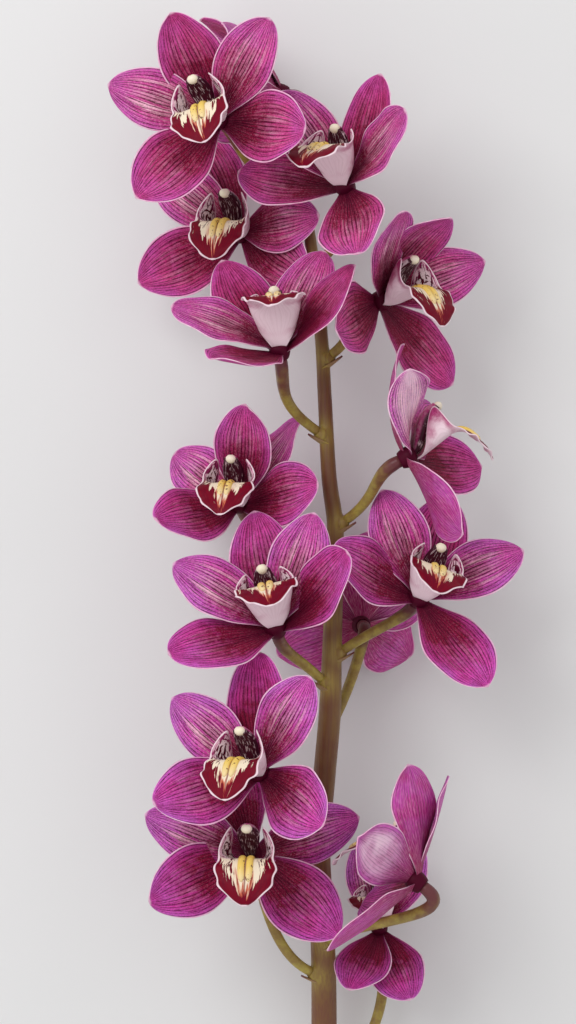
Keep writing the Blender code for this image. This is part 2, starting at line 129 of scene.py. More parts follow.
# Half the lip's width over its surface, in millimetres, at shares of its length.
LIP_OUTLINE = [
    (0.0, 3.6),
    (0.1, 9.0),
    (0.22, 22.0),
    (0.34, 28.0),
    (0.46, 14.5),
    (0.61, 15.5),
    (0.8, 12.5),
    (1.0, 3.0),
]

# The heart that joins a bloom's parts: distance forward and radius, as shares of its sizes.
HEART_PROFILE = [
    (-1.0, 0.66),
    (-0.9, 0.78),
    (-0.3, 0.93),
    (0.35, 1.0),
    (0.8, 0.92),
    (0.97, 0.6),
    (1.0, 0.0),
]

# Fine form that only the finished pieces have, in millimetres where it is a length. The
# margins of a tepal wave so many times, roll in or out and sway, each by chance, and their
# waves are out of step. Its tone strays by chance too, its tip runs on by a share of its
# length, and a crease follows its middle. RIM is the share of the thickness that is left
# at a margin, and RIM_REACH is how far in from there it thins.
MARGIN_WAVES = (1.6, 2.6)
MARGIN_ROLL = (-2.4, 1.0)
MARGIN_SWAY = 0.7
MARGIN_SHIFT = 1.7
TONE_SPREAD = 0.08
TIP_REACH = 0.02
KEEL_DEPTH = 0.5
KEEL_SHARE = 0.1
TEPAL_RIM = 0.45
TEPAL_RIM_REACH = 5.0
LIP_SCALLOP = 0.5
LIP_RIM = 0.5
LIP_RIM_REACH = 3.0

# The two ridges on a lip: where they start and how far they run, as shares of its length,
# how far each is from the middle, how much they close in at the end, and their section.
CALLUS_START = 0.13
CALLUS_RUN = 0.62
CALLUS_APART = 2.05
CALLUS_CLOSING = 0.35
CALLUS_RAISED = 0.75
CALLUS_HALF_WIDTH = 1.75
CALLUS_HALF_HEIGHT = 1.3

# The cap's half sizes right, up and ahead, as shares of its radius, and its groove.
CAP_SHAPE = (1.02, 0.86, 0.92)
CAP_GROOVE = 0.16

# The ovary's swelling and its ribs, as shares of the pedicel's radius there.
OVARY_SWELL = 0.07
RIB_SWELL = 0.05
RIBS = 6

# The collar where a stub leaves the rachis, and how far round it the young green reaches.
COLLAR_HEIGHT = 1.1
COLLAR_REACH = 1.6
NODE_GLOW = 7.0

# How hollow the cut face is, and how far it stands out of the stem's own end.
CUT_DISH = 0.15
CUT_PROUD = 0.2
SHEATH_THICKNESS = 0.9

# Finish: how far roughness varies, how high the relief is in millimetres, and the part
# of the stem, in metres along it, over which the blooms turn from magenta to rose.
ROUGHNESS_SPREAD = 0.14
RELIEF_HEIGHT = 0.5
ROSE_SPAN = (-0.05, 0.2)

# The stage, in metres: the key light, and the wide surface, a hair below the stem.
KEY_PLACE = (-0.9, 0.9, 1.7)
KEY_SIZE = 1.1
SURFACE_REACH = 20.0
SURFACE_DROP = 0.4 * MM

# The middle of the whole stem's box, which is the origin.
CENTRE = Vector((14.6, -78.8, 0.0))

# The rachis from the cut end to the tip: x, y, height above the table, radius.
RACHIS = [
    (17.0, -406.0, 6.9, 6.9),
    (17.5, -360.0, 11.0, 6.8),
    (18.0, -310.0, 19.0, 6.7),
    (18.3, -255.0, 31.0, 6.5),
    (17.5, -215.0, 41.0, 6.2),
    (15.5, -168.0, 50.0, 5.8),
    (18.0, -135.0, 54.0, 5.7),
    (21.0, -100.0, 56.0, 5.6),
    (22.0, -70.0, 57.0, 5.0),
    (23.5, -24.0, 58.0, 4.4),
    (23.5, -5.0, 58.0, 4.2),
    (20.5, 18.0, 58.0, 3.9),
    (18.5, 55.0, 59.0, 3.6),
    (16.5, 90.0, 60.0, 3.4),
    (12.0, 130.0, 60.0, 3.1),
    (8.0, 155.0, 59.0, 2.8),
    (3.0, 180.0, 57.0, 2.6),
    (-2.0, 198.0, 55.0, 2.3),
]


class Tepal(NamedTuple):
    """One sepal or petal of a full-size bloom.

    azimuth is where it points, from the bloom's top towards its right. lean is how far it
    stands forward at its root, and curl how much further it bends forward by its tip. cup,
    in radians, is how far round its sides bend, twist is how far its tip turns on its
    middle line, and depth is how far forward it is rooted. tone is 0 for deep magenta, 1
    for pale violet-pink, and nearly white above that.
    """

    azimuth: float
    length: float
    width: float
    lean: float
    curl: float
    cup: float
    twist: float = 0.0
    depth: float = 0.0
    tone: float = 0.3


class Bloom(NamedTuple):
    """Where one bloom sits, which way it looks, and where its pedicel leaves the rachis.

    yaw is how far it looks to the right, pitch how far towards the tip, and roll how far it
    turns on itself. node_turn is how far round the rachis its pedicel leaves. poses holds,
    for a tepal that differs from the typical one, its azimuth, lean, curl and, where it
    turns on itself, twist. tones holds those of unusual colour.
    """

    name: str
    heart: tuple
    yaw: float
    pitch: float
    roll: float
    node_y: float
    node_turn: float
    size: float = 1.0
    poses: dict = {}
    tones: dict = {}


# The five tepals of a typical bloom: three sepals behind, two petals in front.
TEPALS = {
    "dorsal": Tepal(0.0, SEPAL_LENGTH, SEPAL_WIDTH * 0.93, 14.0, 30.0, 0.55, 0.0, -1.2, 0.15),
    "petal_left": Tepal(-53.0, PETAL_LENGTH, PETAL_WIDTH, 24.0, -18.0, 0.25, 8.0, 1.6, 0.5),
    "petal_right": Tepal(53.0, PETAL_LENGTH, PETAL_WIDTH, 24.0, -18.0, 0.25, -8.0, 1.6, 0.4),
    "sepal_left": Tepal(-122.0, SEPAL_LENGTH, SEPAL_WIDTH, 20.0, 10.0, 0.35, 6.0, -1.2, 0.2),
    "sepal_right": Tepal(122.0, SEPAL_LENGTH, SEPAL_WIDTH, 20.0, 10.0, 0.35, -6.0, -1.2, 0.2),
}

# What a bloom's own pose of a tepal gives, in this order.
POSE_FIELDS = ("azimuth", "lean", "curl", "twist")

BLOOMS = [
    Bloom(
        "bloom_01", (46.5, -212.0, 24.0), -12.0, 45.0, 0.0, -290.0, -10.0, 0.8,
        {
            "dorsal": (0, 12, 20),
            "petal_left": (-16, 28, 12),
            "petal_right": (34, 30, 14),
            "sepal_left": (-170, 6, 10),
            "sepal_right": (154, -8, 10),
        },
    ),
    Bloom(
        "bloom_02", (-18.0, -169.0, 84.0), -5.0, -4.0, 0.0, -236.0, 150.0, 1.0,
        {
            "dorsal": (-15, -8, 8),
            "petal_left": (-67, 20, -14),
            "petal_right": (72, -12, -4),
            "sepal_left": (-112, 24, 10),
            "sepal_right": (133, 2, 6, 10),
        },
    ),
    Bloom(
        "bloom_03", (63.0, -181.0, 101.0), -100.0, 38.0, 0.0, -219.0, 62.0, 1.0,
        {
            "dorsal": (0, 34, 20, 55),
            "petal_left": (-28, 16, 10),
            "petal_right": (82, 40, -12),
            "sepal_left": (-125, 14, 10),
            "sepal_right": (148, 10, 6),
        },
        {"petal_right": 1.0},
    ),
    Bloom(
        "bloom_04", (-14.0, -127.0, 104.0), -25.0, 12.0, 3.0, -168.0, 100.0, 1.0,
        {
            "dorsal": (0, 4, 14),
            "petal_left": (-50, 23, -18),
            "petal_right": (38, 24, -14),
            "sepal_left": (-119, 40, 8),
            "sepal_right": (124, 18, 10),
        },
    ),
    Bloom(
        "bloom_05", (37.0, -57.0, 41.7), 190.0, 6.0, 0.0, -110.0, -70.0, 0.9,
        {
            "dorsal": (-10, 26, 12),
            "petal_left": (-68, 34, -6),
            "petal_right": (52, 38, -6),
            "sepal_left": (-125, 40, 8),
            "sepal_right": (118, 34, 8),
        },
    ),
    Bloom(
        "bloom_06", (-6.0, -57.0, 92.0), -12.0, 42.0, 18.0, -88.0, 140.0, 1.04,
        {
            "dorsal": (3, 20, 24),
            "petal_left": (-53, 36, -16),
            "petal_right": (41, 30, 12),
            "sepal_left": (-110, 17, 10),
            "sepal_right": (89, 30, 32),
        },
    ),
    Bloom(
        "bloom_07", (65.0, -43.0, 70.0), 20.0, 31.0, -24.0, -73.0, 20.0, 1.0,
        {
            "dorsal": (0, 2, 26),
            "petal_left": (-41, 26, -16, 40),
            "petal_right": (53, 36, -16),
            "sepal_left": (-98, 22, 10),
            "sepal_right": (132, 2, 10),
        },
    ),
    Bloom(
        "bloom_08", (-25.0, 4.0, 54.0), -12.0, 20.0, 0.0, -54.0, 190.0, 0.95,
        {
            "dorsal": (12, 29, 30),
            "petal_left": (-50, -14, -10),
            "petal_right": (34, 2, 6, 50),
            "sepal_left": (-126, 42, 10),
            "sepal_right": (91, 30, 8),
        },
    ),
    Bloom(
        "bloom_09", (59.0, 27.0, 84.0), 88.0, 26.0, 0.0, -8.0, 20.0, 1.0,
        {
            "dorsal": (0, -2, 56),
            "petal_left": (-46, 16, 6, 85),
            "petal_right": (72, 30, -16),
            "sepal_left": (-142, 4, 10, 35),
            "sepal_right": (114, 30, 10),
        },
        {"petal_left": 1.4},
    ),
    Bloom(
        "bloom_10", (-4.0, 79.0, 104.0), -10.0, 56.0, 10.0, 37.0, 150.0, 1.0,
        {
            "dorsal": (-30, 17, 30),
            "petal_left": (-77, 32, -16),
            "petal_right": (32, 38, -16),
            "sepal_left": (-145, 22, 10),
            "sepal_right": (82, 41, 10),
        },
    ),
    Bloom(
        "bloom_11", (46.0, 105.0, 72.0), 48.0, 8.0, 0.0, 75.0, 20.0, 1.0,
        {
            "dorsal": (15, 26, 52),
            "petal_left": (-30, 30, 24),
            "petal_right": (70, 29, 14),
            "sepal_left": (-110, 11, 10),
            "sepal_right": (137, 4, 10),
        },
    ),
    Bloom(
        "bloom_12", (-24.0, 141.0, 36.0), -20.0, 6.0, 0.0, 100.0, 190.0, 1.0,
        {"dorsal": (-25, -4, 20), "petal_right": (86, 34, -16)},
    ),
    Bloom(
        "bloom_13", (28.0, 160.0, 96.0), -30.0, 36.0, 0.0, 122.0, 30.0, 1.0,
        {
            "dorsal": (21, 17, 30),
            "petal_left": (-44, 32, 12),
            "petal_right": (68, 29, 14),
            "sepal_left": (-86, 6, 10),
            "sepal_right": (152, 5, 10),
        },
    ),
    Bloom("bloom_14", (-34.0, 192.0, 102.0), -18.0, 6.0, 20.0, 155.0, 195.0),
    Bloom(
        "bloom_15", (-4.0, 212.0, 32.8), -82.0, 8.0, 0.0, 186.0, -10.0, 1.0,
        {
            "dorsal": (0, 30, 56),
            "petal_left": (-55, 36, 10),
            "petal_right": (55, 35, 10),
            "sepal_left": (-125, 34, 20),
            "sepal_right": (125, 34, 30),
        },
    ),
]

# The topmost bloom is only half open, and its column is one solid with its heart.
HALF_OPEN = "bloom_15"


# Sizes and colours that a user may change.


class TepalSettings(bpy.types.PropertyGroup):
    """Sepals and petals."""

    rows: IntProperty(
        name="Rows", description="Divisions along each sepal or petal", default=20, min=6
    )
    columns: IntProperty(
        name="Columns", description="Divisions across each sepal or petal", default=14, min=4
    )
    thickness: FloatProperty(
        name="Thickness", description="Thickness at the middle", default=1.2 * MM, unit="LENGTH"
    )
    ripple: FloatProperty(
        name="Ripple", description="How far the margins wave", default=0.9 * MM, unit="LENGTH"
    )
    veins: FloatProperty(name="Veins", description="Veins across each one", default=17.0)
    bright: FloatVectorProperty(
        name="Bright", description="Colour between the veins", subtype="COLOR",
        default=(0.82, 0.036, 0.40),
    )
    rose: FloatVectorProperty(
        name="Rose", description="Between the veins of the upper blooms", subtype="COLOR",
        default=(0.72, 0.045, 0.21),
    )
    crimson: FloatVectorProperty(
        name="Crimson", description="The flush from the base", subtype="COLOR",
        default=(0.24, 0.002, 0.038),
    )
    # Deep also paints the shade at the base of each sepal and petal, round the heart.
    deep: FloatVectorProperty(
        name="Deep", description="Colour of the veins", subtype="COLOR",
        default=(0.060, 0.001, 0.014),
    )
    violet: FloatVectorProperty(
        name="Violet", description="Cooler colour towards the margins", subtype="COLOR",
        default=(0.62, 0.125, 0.60),
    )
    rosy: FloatVectorProperty(
        name="Rosy", description="Light streaks and flecks", subtype="COLOR",
        default=(0.98, 0.54, 0.68),
    )
    pale: FloatVectorProperty(
        name="Pale", description="Thin margins and pale backs", subtype="COLOR",
        default=(0.94, 0.66, 0.80),
    )
    dusky: FloatVectorProperty(
        name="Dusky", description="Colour of the backs", subtype="COLOR",
        default=(0.50, 0.036, 0.24),
    )


class LipSettings(bpy.types.PropertyGroup):
    """Lips and the ridges on them."""

    rows: IntProperty(name="Rows", description="Divisions along each lip", default=30, min=8)
    columns: IntProperty(name="Columns", description="Divisions across each lip", default=24, min=8)
    thickness: FloatProperty(
        name="Thickness", description="Thickness at the middle", default=1.1 * MM, unit="LENGTH"
    )
    ripple: FloatProperty(
        name="Ripple", description="How far the margins wave", default=1.0 * MM, unit="LENGTH"
    )
    crimson: FloatVectorProperty(
        name="Crimson", description="The mid lobe", subtype="COLOR",
        default=(0.19, 0.0005, 0.014),
    )
    bars: FloatVectorProperty(
        name="Bars", description="The bars of the side lobes, and the specks", subtype="COLOR",
        default=(0.085, 0.001, 0.016),
    )
    flame: FloatVectorProperty(
        name="Flame", description="Between the ridges' ends and the mid lobe's blotch",
        subtype="COLOR", default=(0.52, 0.05, 0.008),
    )
    blush: FloatVectorProperty(
        name="Blush", description="The side lobes towards their points", subtype="COLOR",
        default=(0.50, 0.05, 0.22),
    )
    cream: FloatVectorProperty(
        name="Cream", description="The throat", subtype="COLOR", default=(0.88, 0.76, 0.58)
    )
    margin: FloatVectorProperty(
        name="Margin", description="The margin and the outside", subtype="COLOR",
        default=(0.88, 0.70, 0.76),
    )
    yellow: FloatVectorProperty(
        name="Yellow", description="The ridges", subtype="COLOR", default=(0.86, 0.60, 0.13)
    )


class ColumnSettings(bpy.types.PropertyGroup):
    """Columns and their caps."""

    sides: IntProperty(name="Sides", description="Divisions round a column", default=20, min=8)
    rings: IntProperty(name="Rings", description="Divisions along a column", default=24, min=8)
    magenta: FloatVectorProperty(
        name="Magenta", description="The column's back", subtype="COLOR",
        default=(0.48, 0.04, 0.20),
    )
    white: FloatVectorProperty(
        name="White", description="Between the bars of its underside", subtype="COLOR",
        default=(0.80, 0.62, 0.66),
    )
    bars: FloatVectorProperty(
        name="Bars", description="The dark of its underside", subtype="COLOR",
        default=(0.045, 0.001, 0.012),
    )
    cap: FloatVectorProperty(
        name="Cap", description="The cap", subtype="COLOR", default=(0.90, 0.82, 0.62)
    )


class StalkSettings(bpy.types.PropertyGroup):
    """The rachis, its sheaths, and the pedicels."""

    voxel: FloatProperty(
        name="Grain", description="Mesh size of the rachis", default=0.62 * MM, unit="LENGTH"
    )
    sides: IntProperty(name="Sides", description="Divisions round a pedicel", default=18, min=6)
    rings: IntProperty(name="Rings", description="Divisions along a pedicel", default=30, min=6)
    olive: FloatVectorProperty(
        name="Olive", description="The rachis", subtype="COLOR", default=(0.17, 0.074, 0.028)
    )
    green: FloatVectorProperty(
        name="Green", description="Young growth at the nodes", subtype="COLOR",
        default=(0.41, 0.33, 0.06),
    )
    purple: FloatVectorProperty(
        name="Purple", description="The pedicel near its bloom", subtype="COLOR",
        default=(0.13, 0.03, 0.035),
    )
    straw: FloatVectorProperty(
        name="Straw", description="The dry sheaths", subtype="COLOR", default=(0.36, 0.24, 0.11)
    )
    flesh: FloatVectorProperty(
        name="Flesh", description="The fresh cut", subtype="COLOR", default=(0.62, 0.66, 0.36)
    )


class StageSettings(bpy.types.PropertyGroup):
    """The surface, the lights and the camera."""

    floor: FloatVectorProperty(
        name="Surface", description="Colour of the surface", subtype="COLOR",
        default=(0.80, 0.80, 0.80),
    )
    key: FloatProperty(name="Key light", description="Its power", default=16.0, unit="POWER")
    fill: FloatProperty(
        name="Fill light", description="Strength of the light all round", default=0.75
    )
    height: FloatProperty(
        name="Camera height", description="How far above the surface the camera is",
        default=2.06, unit="LENGTH",
    )
    lens: FloatProperty(name="Lens", description="Focal length", default=140.6, unit="CAMERA")


# Forms, from the same named values as the solids.


def facing_matrix(bloom):
    """Turns a bloom's own axes, right, up and forward, to the way it looks."""
    yaw, pitch = math.radians(bloom.yaw), math.radians(bloom.pitch)
    forward = Vector(
        (
            math.sin(yaw) * math.cos(pitch),
            math.sin(pitch),
            math.cos(yaw) * math.cos(pitch),
        )
    )
    up = (Vector((0, 1, 0)) - forward * forward.y).normalized()
    right = up.cross(forward)
    turned = Matrix((right, up, forward)).transposed()
    return turned.to_4x4() @ Matrix.Rotation(math.radians(bloom.roll), 4, "Z")


def bloom_place(bloom):
    """The matrix that takes a bloom's own axes to its place on the stem."""
    return Matrix.Translation((Vector(bloom.heart) - CENTRE) * MM) @ facing_matrix(bloom)


def posed_tepal(bloom, kind):
    """The typical sepal or petal of this kind, in the pose that it has in this bloom."""
    pose = dict(zip(POSE_FIELDS, bloom.poses.get(kind, ()), strict=False))
    if kind in bloom.tones:
        pose["tone"] = bloom.tones[kind]
    return TEPALS[kind]._replace(**pose)


def blade_share(t):
    """A tepal's width at t from root to tip, as a share of its widest."""
    claw = CLAW_SHARE * (1 - t) ** 3
    body = max(math.sin(math.pi * min(t, 1.0) ** 1.16), 0.0) ** (0.95 - 0.42 * t)
    return claw + (1 - claw) * body


def blade_point(tepal, size, t, s, lift=0.0):
    """A point of a tepal, t along it and s from -1 to 1 across, raised by lift."""
    length, half = tepal.length * size, tepal.width * size / 2 * blade_share(t)
    lean, curl = math.radians(tepal.lean), math.radians(tepal.curl)
    heading = lean + curl * t
    reach = BLADE_ROOT + length * (math.sin(heading) - math.sin(lean)) / curl
    rise = tepal.depth + length * (math.cos(lean) - math.cos(heading)) / curl
    cup = tepal.cup * (1 - CUP_EASING * t)
    across = half * math.sin(cup * s) / cup
    bulge = half * (1 - math.cos(cup * s)) / cup + lift
    twist = math.radians(tepal.twist) * t
    across, bulge = (
        across * math.cos(twist) - bulge * math.sin(twist),
        across * math.sin(twist) + bulge * math.cos(twist),
    )
    azimuth = math.radians(tepal.azimuth)
    outward = Vector((math.sin(azimuth), math.cos(azimuth), 0))
    sideways = Vector((math.cos(azimuth), -math.sin(azimuth), 0))
    front = Vector((0, 0, 1))
    normal = front * math.cos(heading) - outward * math.sin(heading)
    return outward * reach + front * rise + sideways * across + normal * bulge


def smooth_step(low, high, value):
    """0 below low, 1 above high, and a smooth rise between them."""
    share = min(max((value - low) / (high - low), 0.0), 1.0)
    return share * share * (3 - 2 * share)


def smooth_through(values, share):
    """A value, or a vector, of the smooth curve through evenly numbered values."""
    at = min(max(share, 0.0), 1.0) * (len(values) - 1)
    i = min(int(at), len(values) - 2)
    u = at - i
    before, low, high, after = (
        values[max(i - 1, 0)],
        values[i],
        values[i + 1],
        values[min(i + 2, len(values) - 1)],
    )
    return (
        low
        + (high - before) * (0.5 * u)
        + (before * 2 - low * 5 + high * 4 - after) * (0.5 * u * u)
        + (low * 3 - high * 3 + after - before) * (0.5 * u**3)
    )


def smooth_outline(outline, t):
    """The value at t of a smooth curve through an outline's points."""
    i = 0
    while i < len(outline) - 2 and t > outline[i + 1][0]:
        i += 1
    (low_t, low), (high_t, high) = outline[i], outline[i + 1]

    def slope(k):
        before, after = outline[max(k - 1, 0)], outline[min(k + 1, len(outline) - 1)]
        return (after[1] - before[1]) / (after[0] - before[0])

    gap = high_t - low_t
    u = (t - low_t) / gap
    return (
        low * (1 + 2 * u) * (1 - u) ** 2
        + high * (3 - 2 * u) * u**2
        + slope(i) * gap * u * (1 - u) ** 2
        - slope(i + 1) * gap * u**2 * (1 - u)
    )


def lip_half_width(t):
    """Half the lip's width over its surface: side lobes, a notch, then a rounded mid lobe."""
    half = smooth_outline(LIP_OUTLINE, min(t, LIP_ROUNDING))
    rounding = max(t - LIP_ROUNDING, 0.0) / (1 - LIP_ROUNDING)
    return half * max(1 - rounding**1.15, 0.0) ** 0.7


def lip_heading(t):
    """How far the lip's middle line has turned down from straight ahead, in radians."""
    turned = LIP_TURN * smooth_step(*LIP_TURN_SPAN, t) + LIP_CURL * smooth_step(*LIP_CURL_SPAN, t)
    return math.radians(LIP_START + turned)


def lip_midline(t):
    """The lip's middle line in its own upright plane: height and distance forward."""
    steps = 24
    up, forward = LIP_ROOT_UP, HEART_FRONT + LIP_SEAT
    for i in range(steps):
        heading = lip_heading(t * (i + 0.5) / steps)
        up += LIP_LENGTH * t / steps * math.sin(heading)
        forward += LIP_LENGTH * t / steps * math.cos(heading)
    return up, forward


def lip_point(size, t, s, lift=0.0):
    """A point of the lip: a trough with raised side lobes, then a tongue that turns down."""
    up, forward = lip_midline(t)
    heading = lip_heading(t)
    arc = abs(s) * lip_half_width(t)
    drop = smooth_step(*LIP_SIDES_SPAN, t)
    standing = LIP_LIFT * (1 - drop) - LIP_FLARE * smooth_step(*LIP_FLARE_SPAN, t)
    rise = math.radians(standing if abs(standing) > 0.1 else 0.1)
    floor = LIP_FLOOR + LIP_FUNNEL * smooth_step(*LIP_FLOOR_SPAN, t)
    turn = rise * min(max(arc - floor, 0.0), LIP_BEND) / LIP_BEND
    straight = max(arc - floor - LIP_BEND, 0.0)
    across = min(arc, floor) + LIP_BEND / rise * math.sin(turn) + straight * math.cos(rise)
    raised = LIP_BEND / rise * (1 - math.cos(turn)) + straight * math.sin(rise)
    slant = LIP_SLANT * raised * (1 - drop)
    across -= lift * math.sin(turn)
    raised += lift * math.cos(turn)
    return size * Vector(
        (
            math.copysign(across, s),
            up + raised * math.cos(heading),
            forward - raised * math.sin(heading) + slant,
        )
    )


def column_line():
    """The column's middle line: straight out of the heart, then arching over the lip."""
    foot = Vector((0, COLUMN_ROOT_UP, HEART_FRONT + SEAT_GAP))
    points = [foot, foot + Vector((0, 0, COLUMN_FOOT))]
    for heading in COLUMN_HEADINGS:
        turn = math.radians(heading)
        step = COLUMN_LENGTH / len(COLUMN_HEADINGS)
        points.append(points[-1] + Vector((0, math.sin(turn), math.cos(turn))) * step)
    return points


def rachis_at(y):
    """The rachis's middle, direction and radius at this y, read along its stations."""
    for low, high in zip(RACHIS, RACHIS[1:], strict=False):
        if low[1] <= y <= high[1]:
            share = (y - low[1]) / (high[1] - low[1])
            start, end = Vector(low[:3]), Vector(high[:3])
            radius = low[3] + (high[3] - low[3]) * share
            return start.lerp(end, share), (end - start).normalized(), radius
    raise ValueError(f"the rachis has no station at {y} mm")


def node_of(bloom):
    """Where a pedicel leaves the rachis, the way it sets off, and the rachis's radius there.

    node_turn is 0 to the right, 90 to the front, 180 to the left and 270 to the table.
    """
    middle, along, radius = rachis_at(bloom.node_y)
    turn = math.radians(bloom.node_turn)
    side = Vector((math.cos(turn), 0, math.sin(turn)))
    side = (side - along * side.dot(along)).normalized()
    away = (side * OUTWARD_SHARE + along * ONWARD_SHARE).normalized()
    return middle, away, radius


def pedicel_line(bloom, rings):
    """The pedicel's middle line, from inside its stub to inside the back of the heart."""
    middle, away, radius = node_of(bloom)
    start = middle + away * (radius + STUB_REACH + SEAT_GAP)
    forward = facing_matrix(bloom).to_3x3() @ Vector((0, 0, 1))
    end = Vector(bloom.heart) + forward * (HEART_BACK - SEAT_GAP) * bloom.size
    span = (end - start).length
    first, last = start + away * PEDICEL_STRAIGHT, end - forward * PEDICEL_STRAIGHT
    handles = [
        first,
        first + away * span * PEDICEL_GRIP,
        last - forward * span * PEDICEL_TOP_GRIP,
        last,
    ]
    points = [start - away * TUCK]
    for i in range(rings):
        t = i / (rings - 1)
        weights = [(1 - t) ** 3, 3 * t * (1 - t) ** 2, 3 * t * t * (1 - t), t**3]
        points.append(sum((h * w for h, w in zip(handles, weights, strict=True)), Vector()))
    return [*points, end + forward * TUCK]


def bract_point(radius, t, s):
    """A point of the small pointed sheath just below a pedicel, rooted in the rachis."""
    across = BRACT_HALF_WIDTH * (1 - t**1.6) * s
    hug = BRACT_HUG * across**2
    root = (BRACT_ROOT_SHARE * radius - ONWARD_SHARE * BRACT_BELOW) / OUTWARD_SHARE
    return Vector((across, BRACT_BELOW - hug, root + (radius + BRACT_REACH - root) * t))


# Meshes.


class Surface:
    """A mesh in the making, with what its materials read at each point.

    along and across say where a point lies on its patch, inset is its distance from the
    patch's edge in millimetres, tone is its patch's colour, and flesh is its thickness.
    Round a tube, across is how far up a point lies and inset how far to the right.
    """

    LAYERS = ("along", "across", "inset", "tone")

    def __init__(self):
        self.grid = bmesh.new()
        self.layers = [self.grid.verts.layers.float.new(name) for name in self.LAYERS]
        self.deform = self.grid.verts.layers.deform.new()

    def vertex(self, point, values, flesh=1.0):
        """Adds a point, given in millimetres."""
        made = self.grid.verts.new(Vector(point) * MM)
        for layer, value in zip(self.layers, values, strict=True):
            made[layer] = value
        made[self.deform][0] = flesh
        return made

    def skin(self, rows, closed=False, flip=False, slot=0):
        """Joins rows of points with faces. A row of one point is a tip."""
        for low, high in zip(rows, rows[1:], strict=False):
            count = max(len(low), len(high))
            for j in range(count if closed else count - 1):
                corners = [
                    low[j % len(low)],
                    low[(j + 1) % len(low)],
                    high[(j + 1) % len(high)],
                    high[j % len(high)],
                ]
                corners = list(dict.fromkeys(corners))
                if flip:
                    corners.reverse()
                face = self.grid.faces.new(corners)
                face.smooth = True
                face.material_index = slot

    def to_object(self, name, materials, place=None):
        """Makes the object and links it to the scene, with its place in its mesh."""
        mesh = bpy.data.meshes.new(name)
        if place is not None:
            self.grid.transform(place)
        self.grid.to_mesh(mesh)
        self.grid.free()
        made = bpy.data.objects.new(name, mesh)
        made.vertex_groups.new(name="flesh")
        for material in materials:
            mesh.materials.append(material)
        bpy.context.scene.collection.objects.link(made)
        return made


def thicken(piece, thickness, rim_slot=2):
    """Gives a surface its thickness, thinner at the margin, with a rounded edge."""
    shell = piece.modifiers.new("thickness", "SOLIDIFY")
    shell.thickness = thickness
    shell.offset = 0.0
    shell.vertex_group = "flesh"
    shell.material_offset = 1
    shell.material_offset_rim = rim_slot
    round_off(piece)


def round_off(piece):
    """Adds one level of subdivision, the same in the view and in the render."""
    smooth = piece.modifiers.new("rounding", "SUBSURF")
    smooth.levels = 1
    smooth.render_levels = 1


def seat(piece, slot, *nodes):
    """Puts a finished piece on the stem in the stead of its solids."""
    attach(piece, "root")
    if nodes:
        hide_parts(*nodes)


def frames_along(points):
    """A right and an up direction at each point of a line, turning as little as it can."""
    tangents = []
    for i in range(len(points)):
        ahead = points[min(i + 1, len(points) - 1)] - points[max(i - 1, 0)]
        tangents.append(ahead.normalized())
    right = Vector((1, 0, 0))
    if abs(tangents[0].x) > 0.9:
        right = Vector((0, 0, 1))
    right = (right - tangents[0] * right.dot(tangents[0])).normalized()
    frames = []
    for i, tangent in enumerate(tangents):
        if i:
            right = tangents[i - 1].rotation_difference(tangent) @ right
        frames.append((right, tangent.cross(right)))
    return frames


def add_patch(surface, rows, columns, spot_at, crowding=1.0, flip=False):
    """Adds a patch that ends in a point, with its rows closer together towards it.

    spot_at(t, s) gives a point, its values and its flesh, at t from the root to the point
    and s from -1 to 1 across.
    """
    grid = []
    for i in range(rows + 1):
        t = 1 - (1 - i / rows) ** crowding
        across = range(columns + 1) if i < rows else [columns // 2]
        grid.append([surface.vertex(*spot_at(t, -1 + 2 * j / columns)) for j in across])
    surface.skin(grid, flip=flip)


def add_tube(surface, points, sides, section, tone=0.0):
    """Adds a closed tube. section(share, angle) gives its offsets right and up."""
    rows = []
    frames = frames_along(points)
    for i, (point, (right, up)) in enumerate(zip(points, frames, strict=True)):
        share = i / (len(points) - 1)
        row = []
        for j in range(sides):
            angle = 2 * math.pi * j / sides
            a, b = section(share, angle)
            values = (share, math.sin(angle), math.cos(angle), tone)
            row.append(surface.vertex(point + right * a + up * b, values))
        rows.append(row)
    first = surface.vertex(points[0], (0.0, 0.0, 0.0, tone))
    last = surface.vertex(points[-1], (1.0, 0.0, 0.0, tone))
    surface.skin([[first], *rows, [last]], closed=True)


# Materials.


class Field:
    """A number or a colour that changes over the surface, as a node puts it out."""

    def __init__(self, socket):
        self.socket = socket
        self.tree = socket.id_data

    def __add__(self, other):
        return calc("ADD", self, other)

    def __sub__(self, other):
        return calc("SUBTRACT", self, other)

    def __rsub__(self, other):
        return calc("SUBTRACT", other, self)

    def __mul__(self, other):
        return calc("MULTIPLY", self, other)

    def __abs__(self):
        return calc("ABSOLUTE", self)

    def at_least(self, other):
        """This or the other, whichever is more."""
        return calc("MAXIMUM", self, other)

    def at_most(self, other):
        """This or the other, whichever is less."""
        return calc("MINIMUM", self, other)


def feed(socket, value):
    """Sets a socket, or links it to the field that feeds it."""
    if isinstance(value, Field):
        value.tree.links.new(value.socket, socket)
    else:
        socket.default_value = value


def add_node(tree, kind, **values):
    """Adds a node and feeds its named sockets."""
    node = tree.nodes.new(kind)
    for name, value in values.items():
        feed(node.inputs[name], value)
    return node


def calc(operation, *values):
    """One step of arithmetic, on one or two fields or numbers."""
    tree = next(value.tree for value in values if isinstance(value, Field))
    node = add_node(tree, "ShaderNodeMath")
    node.operation = operation
    for socket, value in zip(node.inputs, values, strict=False):
        feed(socket, value)
    return Field(node.outputs[0])


def fade_in(field, low, high):
    """0 where the field is low, 1 where it is high, with a smooth change between."""
    node = add_node(field.tree, "ShaderNodeMapRange", Value=field)
    node.interpolation_type = "SMOOTHSTEP"
    feed(node.inputs["From Min"], low)
    feed(node.inputs["From Max"], high)
    return Field(node.outputs["Result"])


